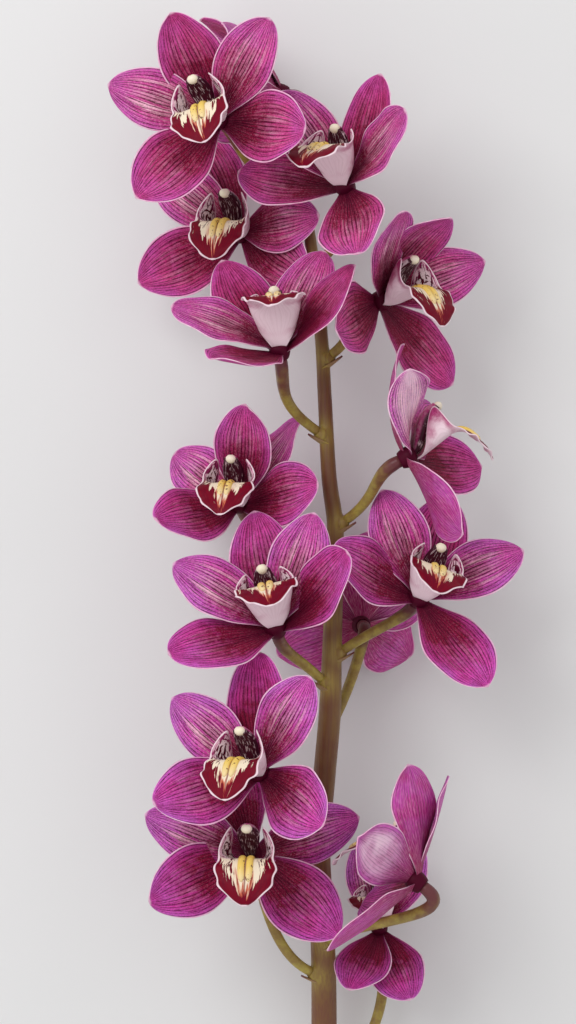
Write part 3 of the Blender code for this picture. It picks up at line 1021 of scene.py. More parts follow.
def fade_out(field, low, high):
    """1 where the field is low, 0 where it is high, with a smooth change between."""
    return 1 - fade_in(field, low, high)


def blend(share, first, second):
    """The first colour where share is 0 and the second where it is 1."""
    node = add_node(share.tree, "ShaderNodeMix")
    node.data_type = "RGBA"
    feed(node.inputs["Factor"], share)
    for number, colour in ((6, first), (7, second)):
        feed(node.inputs[number], colour if isinstance(colour, Field) else (*colour, 1.0))
    return Field(node.outputs[2])


def read(tree, name):
    """The value that the surface holds under this name."""
    node = add_node(tree, "ShaderNodeAttribute")
    node.attribute_name = name
    return Field(node.outputs["Fac"])


def read_layers(tree):
    """Everything that the surface holds, in the order of its layers."""
    return [read(tree, name) for name in Surface.LAYERS]


def place_on(tree):
    """The place on the piece, in metres along its own axes."""
    return Field(add_node(tree, "ShaderNodeTexCoord").outputs["Object"])


def noise(across, wide, along, long, seed, detail=2.0):
    """Noise over a surface's own two directions, so many spots wide and long, from 0 to 1."""
    tree = across.tree
    spot = add_node(tree, "ShaderNodeCombineXYZ", X=across * wide, Y=along * long, Z=seed)
    spot = Field(spot.outputs[0])
    cloud = add_node(tree, "ShaderNodeTexNoise", Vector=spot, Scale=1.0, Detail=detail)
    return Field(cloud.outputs["Fac"])


def shared_group(name, inputs, outputs, wire):
    """A shader node group with these named values in and out, made on its first use.

    wire takes the fields that come in and gives those that go out, in the same order.
    """
    if name in bpy.data.node_groups:
        return bpy.data.node_groups[name]
    group = bpy.data.node_groups.new(name, "ShaderNodeTree")
    for label, default in inputs.items():
        socket = group.interface.new_socket(label, in_out="INPUT", socket_type="NodeSocketFloat")
        socket.default_value = default
    for label in outputs:
        group.interface.new_socket(label, in_out="OUTPUT", socket_type="NodeSocketFloat")
    way_in = add_node(group, "NodeGroupInput").outputs
    way_out = add_node(group, "NodeGroupOutput").inputs
    results = wire(*(Field(way_in[label]) for label in inputs))
    for label, result in zip(outputs, results, strict=True):
        feed(way_out[label], result)
    return group


def use_group(tree, group, **values):
    """Places a group in a material, with its own values, and gives what it puts out."""
    node = add_node(tree, "ShaderNodeGroup")
    node.node_tree = group
    for label, value in values.items():
        feed(node.inputs[label], value)
    return [Field(socket) for socket in node.outputs]


def wire_veins(along, across, seed, count, wander):
    """Fine lines that run from root to tip, wander, fork and fade in places."""

    def lines(share, wide, long, offset):
        shifted = seed + offset
        sway = noise(across, wide, along, long, shifted) - 0.5
        place = (across + sway * wander) * count * share
        width = fade_in(noise(across, 9.0, along, 5.0, shifted), 0.3, 0.7) * 0.24 + 0.12
        return fade_out(calc("PINGPONG", place, 0.5), 0.0, width)

    main = lines(0.5, 2.5, 4.0, 0.0)
    forks = lines(0.69, 4.0, 7.0, 5.0)
    worn = fade_in(noise(across, 3.0, along, 3.0, seed), 0.35, 0.6)
    both = main.at_least(forks * (worn * 0.6 + 0.15))
    breaks = fade_in(noise(across, 30.0, along, 22.0, seed, 3.0), 0.3, 0.6)
    return both * (breaks * 0.6 + 0.4), both


def veins_on(along, across, seed, count, wander=0.09):
    """The mask of the veins and their relief.

    count is how many there are across, and wander is how far they stray sideways, as a
    share of the half width.
    """
    inputs = {"Along": 0.0, "Across": 0.0, "Seed": 0.0, "Count": 16.0, "Wander": 0.09}
    group = shared_group("long veins", inputs, ("Vein", "Relief"), wire_veins)
    return use_group(
        along.tree, group, Along=along, Across=across, Seed=seed, Count=count, Wander=wander
    )


def wire_mottle(scale, low, high):
    """Soft uneven patches, from the place on the piece."""
    place = place_on(scale.tree)
    cloud = add_node(scale.tree, "ShaderNodeTexNoise", Vector=place, Scale=scale, Detail=3.0)
    return (fade_in(Field(cloud.outputs["Fac"]), low, high),)


def mottle(tree, scale, low=0.35, high=0.65):
    """The mask of soft uneven patches, so many to a metre, and sharper if low nears high."""
    inputs = {"Scale": 100.0, "Low": 0.35, "High": 0.65}
    group = shared_group("soft mottle", inputs, ("Mask",), wire_mottle)
    (mask,) = use_group(tree, group, Scale=scale, Low=low, High=high)
    return mask


def wire_edge(along, inset):
    """Close beside the margin of a sepal or petal, but not at its root."""
    return (fade_out(inset, 0.15, 0.8) * fade_in(along, 0.05, 0.3) * 0.65,)


def edge_of(along, inset):
    """The mask of the pale edge of a sepal or petal."""
    group = shared_group("pale edge", {"Along": 0.0, "Inset": 0.0}, ("Mask",), wire_edge)
    (mask,) = use_group(along.tree, group, Along=along, Inset=inset)
    return mask


def new_material(name, colour_of, roughness, specular=0.35, relief=0.15):
    """A material whose tree function gives its colour and the height of its relief."""
    if name in bpy.data.materials:
        bpy.data.materials.remove(bpy.data.materials[name])
    material = bpy.data.materials.new(name)
    material.use_nodes = True
    tree = material.node_tree
    shader = tree.nodes["Principled BSDF"]
    colour, height = colour_of(tree)
    feed(shader.inputs["Base Color"], colour)
    shader.inputs["Specular IOR Level"].default_value = specular
    uneven = mottle(tree, 420.0, 0.3, 0.7)
    rough = uneven * ROUGHNESS_SPREAD + (roughness - ROUGHNESS_SPREAD / 2)
    feed(shader.inputs["Roughness"], rough)
    bump = add_node(
        tree, "ShaderNodeBump", Strength=relief, Distance=RELIEF_HEIGHT * MM, Height=height
    )
    feed(shader.inputs["Normal"], Field(bump.outputs["Normal"]))
    return material


def up_the_stem(tree):
    """0 for the blooms near the cut end and 1 for those near the tip."""
    parts = add_node(tree, "ShaderNodeSeparateXYZ", Vector=place_on(tree))
    return fade_in(Field(parts.outputs["Y"]), *ROSE_SPAN)


def tepal_front(settings):
    """Magenta under maroon veins, flushed crimson from the base, violet to the margin."""

    def colours(tree):
        along, across, inset, tone = read_layers(tree)
        veins, relief = veins_on(along, across, tone, settings.veins)
        patches = mottle(tree, 75.0)
        dapples = mottle(tree, 210.0, 0.4, 0.6)
        grain = mottle(tree, 1300.0, 0.42, 0.58)
        off_middle = abs(across)
        upper = up_the_stem(tree)
        cool = (patches * 0.35 + tone * 0.75) * fade_in(along, 0.1, 0.7)
        cool = cool + fade_in(off_middle, 0.5, 1.0) * 0.42 + fade_in(along, 0.55, 1.0) * 0.2
        cool = cool.at_most(1.0) * (1 - upper * 0.35)
        colour = blend(upper * 0.9, settings.bright, settings.rose)
        colour = blend(cool, colour, settings.violet)
        streak = (
            fade_out(abs(off_middle - 0.3), 0.1, 0.4)
            * fade_in(along, 0.12, 0.35)
            * fade_out(along, 0.5, 0.95)
            * fade_in(noise(across, 12.0, along, 2.5, tone), 0.42, 0.58)
            * tone
            * 2.2
        )
        colour = blend(streak.at_most(0.9), colour, settings.rosy)
        wash = (
            (tone - 0.9).at_least(0.0)
            * fade_in(along, 0.25, 0.6)
            * fade_out(off_middle, 0.2, 0.95)
            * (patches * 0.4 + 0.6)
            * 1.9
        ).at_most(0.85)
        colour = blend(wash, colour, settings.pale)
        flush = (fade_out(along, 0.1, 0.95) + dapples * 0.2) * 1.4 + 0.15 - tone * 1.25
        flush = flush * (1 - fade_in(off_middle, 0.45, 0.95) * 0.6)
        flush = flush.at_least(fade_out(along, 0.02, 0.2)).at_least(0.0).at_most(1.0)
        colour = blend(flush, colour, settings.crimson)
        light = fade_in(noise(across, 46.0, along, 60.0, tone, 1.0), 0.48, 0.66)
        colour = blend(light * (tone * 0.55), colour, settings.rosy)
        # middle darkens each one's middle line towards its root: a darker middle, made stronger as
        # painted shade round the heart.
        middle = fade_out(off_middle, 0.0, 0.3) * fade_out(along, 0.3, 0.9)
        dark = veins * 0.92 + middle * 0.25 + (1 - grain) * 0.2
        # Painted shade: the term that fades out from the root darkens the base of each one round
        # the heart, where shade falls.
        dark = (dark + fade_out(along, 0.0, 0.4) * 0.5) * (1 - wash * 0.8)
        colour = blend(dark.at_most(0.95), colour, settings.deep)
        return blend(edge_of(along, inset), colour, settings.pale), relief

    return new_material("tepal front", colours, 0.52, specular=0.09, relief=0.3)


def tepal_back(settings):
    """Duller than the front, with fainter veins, and pale where the tone is light."""

    def colours(tree):
        along, across, inset, tone = read_layers(tree)
        veins, relief = veins_on(along, across, tone, settings.veins)
        patches = mottle(tree, 95.0)
        cool = (patches * 0.35 + tone * 0.4).at_most(1.0)
        colour = blend(cool, settings.dusky, settings.violet)
        colour = blend(fade_out(along, 0.0, 0.75) * 0.85, colour, settings.crimson)
        pale = (tone - 0.5).at_least(0.0) * 1.9
        pale = pale * fade_in(along, 0.2, 0.7) * fade_in(inset, 0.8, 8.0)
        pale = pale * (patches * 0.45 + 0.55)
        colour = blend(pale.at_most(0.92), colour, settings.pale)
        fine = fade_in(noise(across, 40.0, along, 16.0, tone), 0.45, 0.65)
        colour = blend(fine * 0.22, colour, settings.rosy)
        keel = fade_out(abs(across), 0.0, 0.16)
        dark = (veins * 0.62 + keel * 0.2) * (1 - pale.at_most(1.0) * 0.75)
        colour = blend(dark, colour, settings.deep)
        return blend(edge_of(along, inset), colour, settings.pale), relief

    return new_material("tepal back", colours, 0.52, specular=0.14, relief=0.25)


def tepal_margin(settings):
    """The pale thin edge of a sepal or petal."""

    def colours(tree):
        patches = mottle(tree, 300.0)
        colour = blend(patches * 0.5, settings.pale, settings.bright)
        base = fade_out(read(tree, "along"), 0.0, 0.25)
        return blend(base, colour, settings.deep), patches

    return new_material("tepal margin", colours, 0.5, relief=0.05)


def lip_inside(settings):
    """A cream throat, a crimson mid lobe in a pale margin, and barred side lobes."""

    def colours(tree):
        along, across, inset, tone = read_layers(tree)
        spread = abs(across)
        tongue = fade_in(along, 0.43, 0.49)
        side = 1 - tongue
        fingers = noise(across, 12.0, along, 5.0, tone, 3.0) - 0.5
        beyond = (spread + fingers * 1.5) - (1.78 - along * 1.95)
        colour = blend(side * fade_in(spread, 0.2, 0.6), settings.cream, settings.margin)
        flame = fade_in(beyond, -0.26, -0.04) * fade_out(spread, 0.2, 0.42)
        colour = blend(flame * tongue * 0.9, colour, settings.flame)
        deep = fade_in(noise(across, 24.0, along, 9.0, tone + 9.0, 3.0), 0.35, 0.65)
        crimson = blend(deep * 0.45, settings.crimson, settings.bars)
        colour = blend(fade_in(beyond, -0.02, 0.05) * tongue, colour, crimson)
        seam = fade_out(spread, 0.01, 0.045) * fade_in(along, 0.3, 0.5) * 0.75
        colour = blend(seam, colour, settings.crimson)
        bars = fade_in(noise(across, 6.0, along, 34.0, tone + 7.0, 1.0), 0.53, 0.56)
        bars = bars * fade_in(spread, 0.2, 0.32) * side
        dashes = fade_in(noise(across, 17.0, along, 14.0, tone + 3.0), 0.56, 0.6)
        dashes = dashes * fade_in(spread, 0.3, 0.5) * fade_out(along, 0.56, 0.66)
        colour = blend(bars.at_least(dashes), colour, settings.bars)
        grain = fade_in(noise(across, 50.0, along, 50.0, tone, 1.0), 0.4, 0.6)
        blush = fade_out(inset, 1.0, 8.0) * side * fade_in(along, 0.08, 0.2)
        colour = blend(blush * (grain * 0.45 + 0.28), colour, settings.blush)
        specks = fade_in(noise(across, 60.0, along, 60.0, tone, 1.0), 0.66, 0.7)
        colour = blend(specks * side * 0.8, colour, settings.bars)
        return blend(fade_out(inset, 0.7, 1.2), colour, settings.margin), fingers

    return new_material("lip inside", colours, 0.5, specular=0.1, relief=0.15)


def lip_outside(settings):
    """Pinkish white with faint lines, flushed towards the points of the side lobes."""

    def colours(tree):
        along, across, inset, tone = read_layers(tree)
        veins, relief = veins_on(along, across, tone, 22.0, 0.12)
        flecks = fade_in(noise(across, 70.0, along, 55.0, tone, 1.0), 0.42, 0.6)
        reach = mottle(tree, 160.0) * 6.0 + inset
        blush = fade_out(reach, 2.0, 17.0) * fade_out(along, 0.4, 0.5)
        blush = blush * fade_in(inset, 0.3, 1.2) * fade_in(along, 0.08, 0.26)
        colour = blend(blush, settings.margin, settings.blush)
        colour = blend(blush * flecks * 0.4, colour, settings.crimson)
        return blend(veins * 0.1, colour, settings.crimson), relief

    return new_material("lip outside", colours, 0.45, specular=0.25, relief=0.1)


def ridge_yellow(settings):
    """Yellow with small dark specks, paler at the ridges' far ends."""

    def colours(tree):
        specks = mottle(tree, 650.0, 0.6, 0.66)
        ends = fade_in(read(tree, "along"), 0.7, 1.0)
        colour = blend(ends * 0.5, settings.yellow, settings.cream)
        return blend(specks * 0.85, colour, settings.bars), specks

    return new_material("ridge yellow", colours, 0.42, specular=0.25, relief=0.1)


def column_flesh(settings):
    """Crimson above, and nearly black with pale streaks underneath."""

    def colours(tree):
        along, upward, sideways, tone = read_layers(tree)
        streaks = noise(sideways, 11.0, along, 7.0, tone, 3.0)
        streaks = fade_in(streaks, 0.56, 0.64) * 0.75
        under = blend(streaks, settings.bars, settings.white)
        above = blend(mottle(tree, 600.0) * 0.3, settings.magenta, settings.white)
        return blend(fade_in(upward, 0.1, 0.6), under, above), streaks

    return new_material("column", colours, 0.4, specular=0.25, relief=0.08)


def column_cap(settings):
    """Waxy cream with a faint pink flush."""

    def colours(tree):
        patches = mottle(tree, 260.0)
        return blend(patches * 0.25, settings.cap, settings.white), patches

    return new_material("column cap", colours, 0.32, relief=0.06)


def pedicel_skin(settings):
    """Yellow-green at the root, through olive to purple near the bloom."""

    def colours(tree):
        along = read(tree, "along")
        patches = mottle(tree, 140.0)
        streaks = mottle(tree, 700.0)
        colour = blend(patches * 0.5 + along * 0.35, settings.green, settings.olive)
        near_bloom = fade_in(along + patches * 0.15, 0.55, 1.05)
        colour = blend(near_bloom, colour, settings.purple)
        return blend(streaks * 0.2, colour, settings.purple), streaks

    return new_material("pedicel", colours, 0.4, relief=0.1)


def rachis_skin(settings):
    """Olive-brown, greener at the nodes, with fine lengthwise streaks."""

    def colours(tree):
        place = add_node(
            tree, "ShaderNodeMapping", Vector=place_on(tree), Scale=(900.0, 45.0, 900.0)
        )
        place = Field(place.outputs[0])
        cloud = add_node(tree, "ShaderNodeTexNoise", Vector=place, Scale=1.0, Detail=3.0)
        streaks = fade_in(Field(cloud.outputs["Fac"]), 0.35, 0.65)
        green = read(tree, "tone") * 0.75 + mottle(tree, 60.0) * 0.1
        colour = blend(green.at_most(1.0), settings.olive, settings.green)
        return blend(streaks * 0.35, colour, settings.purple), streaks

    return new_material("rachis", colours, 0.42, relief=0.18)


def sheath_skin(settings):
    """Dry straw, green at its root and darker towards the point."""

    def colours(tree):
        along, across, _, tone = read_layers(tree)
        lines, relief = veins_on(along, across, tone, 10.0)
        colour = blend(fade_in(along, 0.0, 0.5), settings.green, settings.straw)
        colour = blend(fade_in(along, 0.6, 1.0), colour, settings.purple)
        return blend(lines * 0.5, colour, settings.purple), relief

    return new_material("sheath", colours, 0.6, specular=0.2, relief=0.3)


def cut_flesh(settings):
    """The fresh cut: pale green flesh with small fibre ends and a darker rind."""

    def colours(tree):
        cells = add_node(tree, "ShaderNodeTexVoronoi", Vector=place_on(tree), Scale=1100.0)
        dots = fade_out(Field(cells.outputs["Distance"]), 0.18, 0.34)
        colour = blend(dots * 0.6, settings.flesh, settings.olive)
        rind = fade_in(read(tree, "along"), 0.86, 0.98)
        return blend(rind, colour, settings.olive), dots

    return new_material("cut face", colours, 0.3, relief=0.2)


# Pieces.


def add_blade(surface, tepal, size, settings, seed):
    """Adds one sepal or petal, with a gently waving margin and a small point."""
    chance = random.Random(seed)
    waves = chance.uniform(*MARGIN_WAVES)
    phase = chance.uniform(0, 2 * math.pi)
    rolls = [chance.uniform(*MARGIN_ROLL), chance.uniform(*MARGIN_ROLL)]
    sway = chance.uniform(-MARGIN_SWAY, MARGIN_SWAY)
    tone = tepal.tone + chance.uniform(-TONE_SPREAD, TONE_SPREAD)

    def spot_at(t, s):
        half = tepal.width * size / 2 * blade_share(t)
        wave = math.sin(2 * math.pi * waves * t + phase + (MARGIN_SHIFT if s > 0 else 0.0))
        lift = settings.ripple / MM * abs(s) ** 2.5 * wave
        lift += rolls[s > 0] * abs(s) ** 3 + sway * s * math.sin(4.5 * t)
        lift *= smooth_step(0.08, 0.4, t)
        keel = math.exp(-((s / KEEL_SHARE) ** 2)) * smooth_step(0.05, 0.2, t) * (1 - t)
        lift -= KEEL_DEPTH * keel
        inset = min((1 - abs(s)) * half, (1 - t) * tepal.length * size)
        flesh = TEPAL_RIM + (1 - TEPAL_RIM) * smooth_step(0.0, TEPAL_RIM_REACH, inset)
        point = blade_point(tepal, size, t + TIP_REACH * (t == 1.0), s, lift * size)
        return point, (t, s, inset, tone), flesh

    add_patch(surface, settings.rows, settings.columns, spot_at, crowding=1.5)


def add_heart(surface, size):
    """Adds the short receptacle that the five tepals grow from."""
    sides = 18
    rows = []
    for forward, radius in HEART_PROFILE:
        depth = forward * (HEART_FRONT if forward > 0 else -HEART_BACK) * size
        reach = radius * HEART_RADIUS * size
        values = (0.0, 0.0, 9.0, 0.0)
        if radius == 0.0:
            rows.append([surface.vertex((0, 0, depth), values)])
            continue
        row = []
        for j in range(sides):
            angle = 2 * math.pi * j / sides
            spot = (reach * math.cos(angle), reach * math.sin(angle), depth)
            row.append(surface.vertex(spot, values))
        rows.append(row)
    surface.skin(rows, closed=True)


def add_lip(surface, size, settings, seed):
    """Adds a lip, ruffled along the mid lobe's margin."""
    phase = random.Random(seed).uniform(0, 2 * math.pi)

    def spot_at(t, s):
        frill = smooth_step(0.4, 0.6, t)
        scallop = math.sin(29.0 * t + phase) + 0.6 * math.sin(47.0 * t - phase)
        scallop *= LIP_SCALLOP * frill
        half = lip_half_width(t)
        ruffle = math.sin(31.0 * t + 2.2 * s + phase) + 0.5 * math.sin(53.0 * t - 3.0 * s)
        lift = settings.ripple / MM * abs(s) ** 4 * ruffle * (0.3 + 0.7 * frill)
        inset = min((1 - abs(s)) * half, (1 - t) * LIP_LENGTH)
        point = lip_point(size, t, s * (1 + scallop * abs(s) ** 3 / max(half, 4.0)), lift)
        if t == 0.0:
            point = point - Vector((0, 0, TUCK))
        flesh = LIP_RIM + (1 - LIP_RIM) * smooth_step(0.0, LIP_RIM_REACH, inset)
        return point, (t, s, inset, phase), flesh

    add_patch(surface, settings.rows, settings.columns, spot_at, crowding=1.2, flip=True)


def add_callus(surface, size):
    """Adds the two flat ridges along the lip's floor, side by side."""

    def section(share, angle):
        swell = 0.6 + 0.4 * smooth_step(0.0, 0.35, share)
        end = math.sqrt(max(1 - (2 * share - 1) ** 10, 0.02))
        reach = swell * end * size
        wide, high = CALLUS_HALF_WIDTH * reach, CALLUS_HALF_HEIGHT * reach
        return wide * math.cos(angle), high * math.sin(angle)

    count = 24
    for side in (-1, 1):
        points = []
        for i in range(count + 1):
            t = CALLUS_START + CALLUS_RUN * i / count
            apart = CALLUS_APART - CALLUS_CLOSING * smooth_step(0.6, 0.75, t)
            s = side * apart / lip_half_width(t)
            points.append(lip_point(1.0, t, s, CALLUS_RAISED) * size)
        add_tube(surface, points, 12, section)


def add_column(surface, size, settings, tone):
    """Adds a column, rounded above and hollow below, with its cap at the end."""
    line = [point * size for point in column_line()]
    line[0] = line[0] - Vector((0, 0, TUCK))
    points = [smooth_through(line, i / settings.rings) for i in range(settings.rings + 1)]

    def section(share, angle):
        radius = COLUMN_RADIUS * size * smooth_through(COLUMN_SHARES, share)
        radius *= 1 - 0.12 * smooth_step(0.8, 1.0, share)
        right, up = math.cos(angle), math.sin(angle)
        hollow = 0.8 - 0.45 * smooth_step(0.3, 0.7, share) * (1 - right * right)
        wing = 1.0 + 0.08 * smooth_step(0.25, 0.7, share) * (1 - abs(up)) ** 2
        return radius * right * wing, radius * up * (0.85 if up > 0 else hollow)

    add_tube(surface, points, settings.sides, section, tone)
    add_cap(surface, points[-1], (points[-1] - points[-3]).normalized(), size)


def add_cap(surface, centre, ahead, size):
    """Adds the two-lobed cap over the end of the column."""
    sides, rings = 20, 12
    wide, high, long = CAP_SHAPE
    right = Vector((1, 0, 0))
    up = ahead.cross(right)
    up = up if up.y > 0 else -up
    rows = []
    for i in range(rings + 1):
        polar = math.pi * i / rings
        row = []
        for j in range(sides):
            angle = 2 * math.pi * j / sides
            a, b = math.sin(polar) * math.cos(angle), math.sin(polar) * math.sin(angle)
            groove = CAP_GROOVE * math.exp(-((a / 0.22) ** 2)) * max(b, 0.0)
            reach = CAP_RADIUS * size * (1 - groove)
            spot = centre + right * a * reach * wide + up * b * reach * high
            spot = spot + ahead * math.cos(polar) * reach * long
            row.append(surface.vertex(spot, (1.0, b, 0.0, 0.0)))
            if i in (0, rings):
                break
        rows.append(row)
    surface.skin(rows, closed=True, flip=True, slot=1)


def grow_rachis_mesh():
    """The rachis with its stubs, as tubes that the rachis step then melts into one skin."""
    surface = Surface()
    stations = [Vector(station[:3]) - CENTRE for station in RACHIS]
    radii = [station[3] for station in RACHIS]
    count = 160
    points = [smooth_through(stations, i / count) for i in range(count + 1)]

    def round_section(share, angle):
        radius = smooth_through(radii, share)
        return radius * math.cos(angle), radius * math.sin(angle)

    add_tube(surface, points, 24, round_section)
    for bloom in BLOOMS:
        middle, away, radius = node_of(bloom)
        start, reach = middle - CENTRE, radius + STUB_REACH

        def stub_section(share, angle, radius=radius, reach=reach):
            out = share * reach
            wide = STUB_ROOT_RADIUS + (STUB_END_RADIUS - STUB_ROOT_RADIUS) * share
            wide += COLLAR_HEIGHT * math.exp(-(((out - radius) / COLLAR_REACH) ** 2))
            return wide * math.cos(angle), wide * math.sin(angle)

        points = [start + away * reach * i / 12 for i in range(13)]
        add_tube(surface, points, 20, stub_section)
    return surface


def mark_nodes(mesh):
    """Writes how near each point of the rachis is to a node, for its colour."""
    count = len(mesh.vertices)
    places = np.empty(count * 3)
    mesh.vertices.foreach_get("co", places)
    places = places.reshape(-1, 3) / MM
    near = np.zeros(count)
    for bloom in BLOOMS:
        middle, away, radius = node_of(bloom)
        spot = np.array(middle - CENTRE + away * radius)
        distance = np.linalg.norm(places - spot, axis=1)
        near = np.maximum(near, np.exp(-((distance / NODE_GLOW) ** 2)))
    layer = mesh.attributes.new("tone", "FLOAT", "POINT")
    layer.data.foreach_set("value", near)


class ORCHID_OT_grow_tepals(bpy.types.Operator):
    """Grows the sepals and petals of every bloom"""

    bl_idname = "orchid.grow_tepals"
    bl_label = "Sepals and petals"

    def execute(self, context):
        settings = context.scene.orchid_tepals
        materials = [tepal_front(settings), tepal_back(settings), tepal_margin(settings)]
        for number, bloom in enumerate(BLOOMS):
            surface = Surface()
            for turn, kind in enumerate(TEPALS):
                seed = number * len(TEPALS) + turn
                add_blade(surface, posed_tepal(bloom, kind), bloom.size, settings, seed)
            add_heart(surface, bloom.size)
            piece = surface.to_object(bloom.name + "_petals", materials, bloom_place(bloom))
            thicken(piece, settings.thickness)
            seat(piece, "tepals", bloom.name + "_tepals")
        return {"FINISHED"}


class ORCHID_OT_grow_lips(bpy.types.Operator):
    """Grows the lip of every bloom and the ridges on it"""

    bl_idname = "orchid.grow_lips"
    bl_label = "Lips"

    def execute(self, context):
        settings = context.scene.orchid_lips
        inside, outside = lip_inside(settings), lip_outside(settings)
        yellow = ridge_yellow(settings)
        for number, bloom in enumerate(BLOOMS):
            surface = Surface()
            add_lip(surface, bloom.size, settings, 100 + number)
            name = bloom.name + "_labellum"
            piece = surface.to_object(name, [inside, outside], bloom_place(bloom))
            thicken(piece, settings.thickness, rim_slot=1)
            seat(piece, "lip", bloom.name + "_lip")
            ridges = Surface()
            add_callus(ridges, bloom.size)
            piece = ridges.to_object(bloom.name + "_callus", [yellow], bloom_place(bloom))
            seat(piece, "lip")
        return {"FINISHED"}


class ORCHID_OT_grow_columns(bpy.types.Operator):
    """Grows the column of every bloom, with its cap"""

    bl_idname = "orchid.grow_columns"
    bl_label = "Columns"

    def execute(self, context):
        settings = context.scene.orchid_columns
        materials = [column_flesh(settings), column_cap(settings)]
        for number, bloom in enumerate(BLOOMS):
            surface = Surface()
            add_column(surface, bloom.size, settings, float(number))
            name = bloom.name + "_gynostemium"
            piece = surface.to_object(name, materials, bloom_place(bloom))
            solid = "_tepals" if bloom.name == HALF_OPEN else "_column"
            seat(piece, "column", bloom.name + solid)
        return {"FINISHED"}


class ORCHID_OT_grow_pedicels(bpy.types.Operator):
    """Grows the stalk of every bloom, with the ribbed ovary at its upper end"""

    bl_idname = "orchid.grow_pedicels"
    bl_label = "Pedicels"

    def execute(self, context):
        settings = context.scene.orchid_stalks
        skin = pedicel_skin(settings)
        for bloom in BLOOMS:
            points = [point - CENTRE for point in pedicel_line(bloom, settings.rings)]

            def section(share, angle):
                radius = PEDICEL_ROOT_RADIUS
                radius += (PEDICEL_TOP_RADIUS - PEDICEL_ROOT_RADIUS) * share
                ovary = smooth_step(0.5, 0.75, share) * (1 - smooth_step(0.9, 1.0, share))
                ribs = RIB_SWELL * ovary * math.cos(RIBS * angle + 2 * share)
                radius *= 1 + OVARY_SWELL * ovary + ribs
                return radius * math.cos(angle), radius * math.sin(angle)

            surface = Surface()
            add_tube(surface, points, settings.sides, section)
            piece = surface.to_object(bloom.name + "_stalk", [skin])
            seat(piece, "pedicel", bloom.name + "_pedicel")
        return {"FINISHED"}


class ORCHID_OT_grow_rachis(bpy.types.Operator):
    """Grows the rachis, with its nodes and its cut end"""

    bl_idname = "orchid.grow_rachis"
    bl_label = "Rachis"

    def execute(self, context):
        settings = context.scene.orchid_stalks
        piece = grow_rachis_mesh().to_object("rachis", [rachis_skin(settings)])
        melt = piece.modifiers.new("melt", "REMESH")
        melt.mode = "VOXEL"
        melt.voxel_size = settings.voxel
        melt.use_smooth_shade = True
        relax = piece.modifiers.new("relax", "SMOOTH")
        relax.factor = 0.5
        relax.iterations = 6
        context.view_layer.update()
        depsgraph = context.evaluated_depsgraph_get()
        skin = bpy.data.meshes.new_from_object(piece.evaluated_get(depsgraph))
        piece.modifiers.clear()
        piece.data = skin
        mark_nodes(skin)
        seat(piece, "stem", "stem")
        self.cut_end(settings)
        return {"FINISHED"}

    @staticmethod
    def cut_end(settings):
        """Adds the slightly hollow face where the stem was cut."""
        surface = Surface()
        first, second = Vector(RACHIS[0][:3]), Vector(RACHIS[1][:3])
        middle, radius = first - CENTRE, RACHIS[0][3]
        ahead = (second - first).normalized()
        right = Vector((1, 0, 0))
        up = ahead.cross(right)
        sides = 32
        rows = [[surface.vertex(middle + ahead * CUT_DISH, (0.0, 0.0, 0.0, 0.0))]]
        for share in (0.3, 0.6, 0.85, 0.97):
            dish = ahead * (CUT_DISH * (1 - share**2) - CUT_PROUD)
            row = []
            for j in range(sides):
                angle = 2 * math.pi * j / sides
                spot = (right * math.cos(angle) + up * math.sin(angle)) * radius * share
                row.append(surface.vertex(middle + spot + dish, (share, 0.0, 0.0, 0.0)))
            rows.append(row)
        surface.skin(rows, closed=True, flip=True)
        seat(surface.to_object("cut_face", [cut_flesh(settings)]), "stem")


class ORCHID_OT_grow_sheaths(bpy.types.Operator):
    """Grows the small dry sheath below every pedicel"""

    bl_idname = "orchid.grow_sheaths"
    bl_label = "Sheaths"

    def execute(self, context):
        settings = context.scene.orchid_stalks
        surface = Surface()
        for number, bloom in enumerate(BLOOMS):
            middle, away, radius = node_of(bloom)
            along = rachis_at(bloom.node_y)[1]
            below = (along.cross(away)).cross(away).normalized()
            axes = Matrix((below.cross(away), below, away)).transposed().to_4x4()
            place = Matrix.Translation(middle - CENTRE) @ axes

            def spot_at(t, s, place=place, radius=radius, tone=float(number)):
                inset = (1 - abs(s)) * BRACT_HALF_WIDTH * (1 - t**1.6)
                return place @ bract_point(radius, t, s), (t, s, inset, tone), 0.7

            add_patch(surface, 10, 8, spot_at)
        piece = surface.to_object("sheaths", [sheath_skin(settings)])
        shell = piece.modifiers.new("thickness", "SOLIDIFY")
        shell.thickness = SHEATH_THICKNESS * MM
        shell.offset = 0.0
        round_off(piece)
        seat(piece, "stem", "stem")
        return {"FINISHED"}


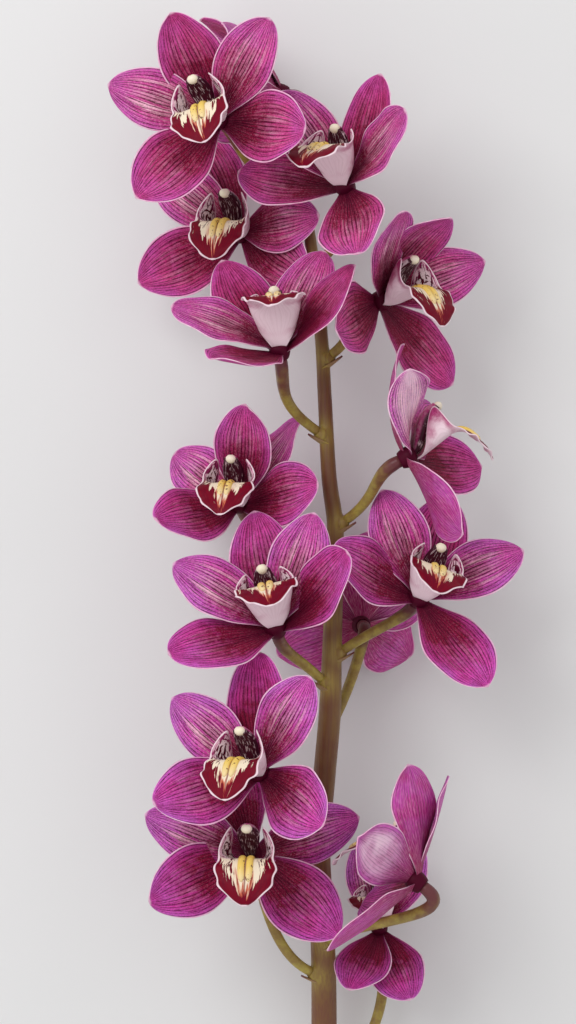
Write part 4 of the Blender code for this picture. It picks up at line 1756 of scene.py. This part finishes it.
class ORCHID_OT_set_stage(bpy.types.Operator):
    """Lays the pale surface, and sets the lights and the camera that looks down"""

    bl_idname = "orchid.set_stage"
    bl_label = "Surface, lights and camera"

    def execute(self, context):
        settings = context.scene.orchid_stage
        scene = context.scene
        scene.view_settings.view_transform = "Standard"
        self.lay_surface(scene, settings)
        world = scene.world or bpy.data.worlds.new("soft daylight")
        scene.world = world
        world.use_nodes = True
        sky = world.node_tree.nodes["Background"]
        sky.inputs["Color"].default_value = (1.0, 1.0, 1.0, 1.0)
        sky.inputs["Strength"].default_value = settings.fill
        self.hang_light(scene, settings.key)
        lens = bpy.data.cameras.new("camera")
        lens.lens = settings.lens
        camera = bpy.data.objects.new("camera", lens)
        camera.location = (-CENTRE.x * MM, -CENTRE.y * MM, settings.height)
        scene.collection.objects.link(camera)
        scene.camera = camera
        return {"FINISHED"}

    @staticmethod
    def lay_surface(scene, settings):
        """Adds the wide pale surface."""

        def colours(tree):
            patches = mottle(tree, 2.5, 0.2, 0.8)
            shade = [value * 0.94 for value in settings.floor]
            return blend(patches, settings.floor, shade), patches

        surface = bmesh.new()
        bmesh.ops.create_grid(surface, x_segments=1, y_segments=1, size=SURFACE_REACH)
        mesh = bpy.data.meshes.new("surface")
        surface.to_mesh(mesh)
        surface.free()
        mesh.materials.append(new_material("pale surface", colours, 0.8, relief=0.0))
        floor = bpy.data.objects.new("surface", mesh)
        floor.location.z = -SURFACE_DROP
        scene.collection.objects.link(floor)

    @staticmethod
    def hang_light(scene, power):
        """Adds the large soft key light, which looks at the middle of the stem."""
        light = bpy.data.lights.new("key", "AREA")
        light.size = KEY_SIZE
        light.energy = power
        lamp = bpy.data.objects.new("key", light)
        lamp.location = KEY_PLACE
        lamp.rotation_euler = Vector(KEY_PLACE).to_track_quat("Z", "Y").to_euler()
        scene.collection.objects.link(lamp)


class ORCHID_PT_stem(bpy.types.Panel):
    """Lists the settings and the steps of the stem"""

    bl_label = "Cymbidium stem"
    bl_idname = "ORCHID_PT_stem"
    bl_space_type = "VIEW_3D"
    bl_region_type = "UI"
    bl_category = "Orchid"

    def draw(self, context):
        for step, group in STEPS:
            box = self.layout.box()
            box.operator(step.bl_idname)
            settings = getattr(context.scene, group)
            for name in settings.__annotations__:
                box.prop(settings, name)


SETTINGS = {
    "orchid_tepals": TepalSettings,
    "orchid_lips": LipSettings,
    "orchid_columns": ColumnSettings,
    "orchid_stalks": StalkSettings,
    "orchid_stage": StageSettings,
}
STEPS = [
    (ORCHID_OT_grow_tepals, "orchid_tepals"),
    (ORCHID_OT_grow_lips, "orchid_lips"),
    (ORCHID_OT_grow_columns, "orchid_columns"),
    (ORCHID_OT_grow_pedicels, "orchid_stalks"),
    (ORCHID_OT_grow_rachis, "orchid_stalks"),
    (ORCHID_OT_grow_sheaths, "orchid_stalks"),
    (ORCHID_OT_set_stage, "orchid_stage"),
]


def register():
    for name, group in SETTINGS.items():
        bpy.utils.register_class(group)
        setattr(bpy.types.Scene, name, PointerProperty(type=group))
    for step, _ in STEPS:
        bpy.utils.register_class(step)
    bpy.utils.register_class(ORCHID_PT_stem)


def unregister():
    bpy.utils.unregister_class(ORCHID_PT_stem)
    for step, _ in reversed(STEPS):
        bpy.utils.unregister_class(step)
    for name, group in SETTINGS.items():
        delattr(bpy.types.Scene, name)
        bpy.utils.unregister_class(group)


def main():
    register()
    bpy.ops.orchid.grow_tepals()
    bpy.ops.orchid.grow_lips()
    bpy.ops.orchid.grow_columns()
    bpy.ops.orchid.grow_pedicels()
    bpy.ops.orchid.grow_rachis()
    bpy.ops.orchid.grow_sheaths()
    bpy.ops.orchid.set_stage()
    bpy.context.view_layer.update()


if __name__ == "__main__":
    main()
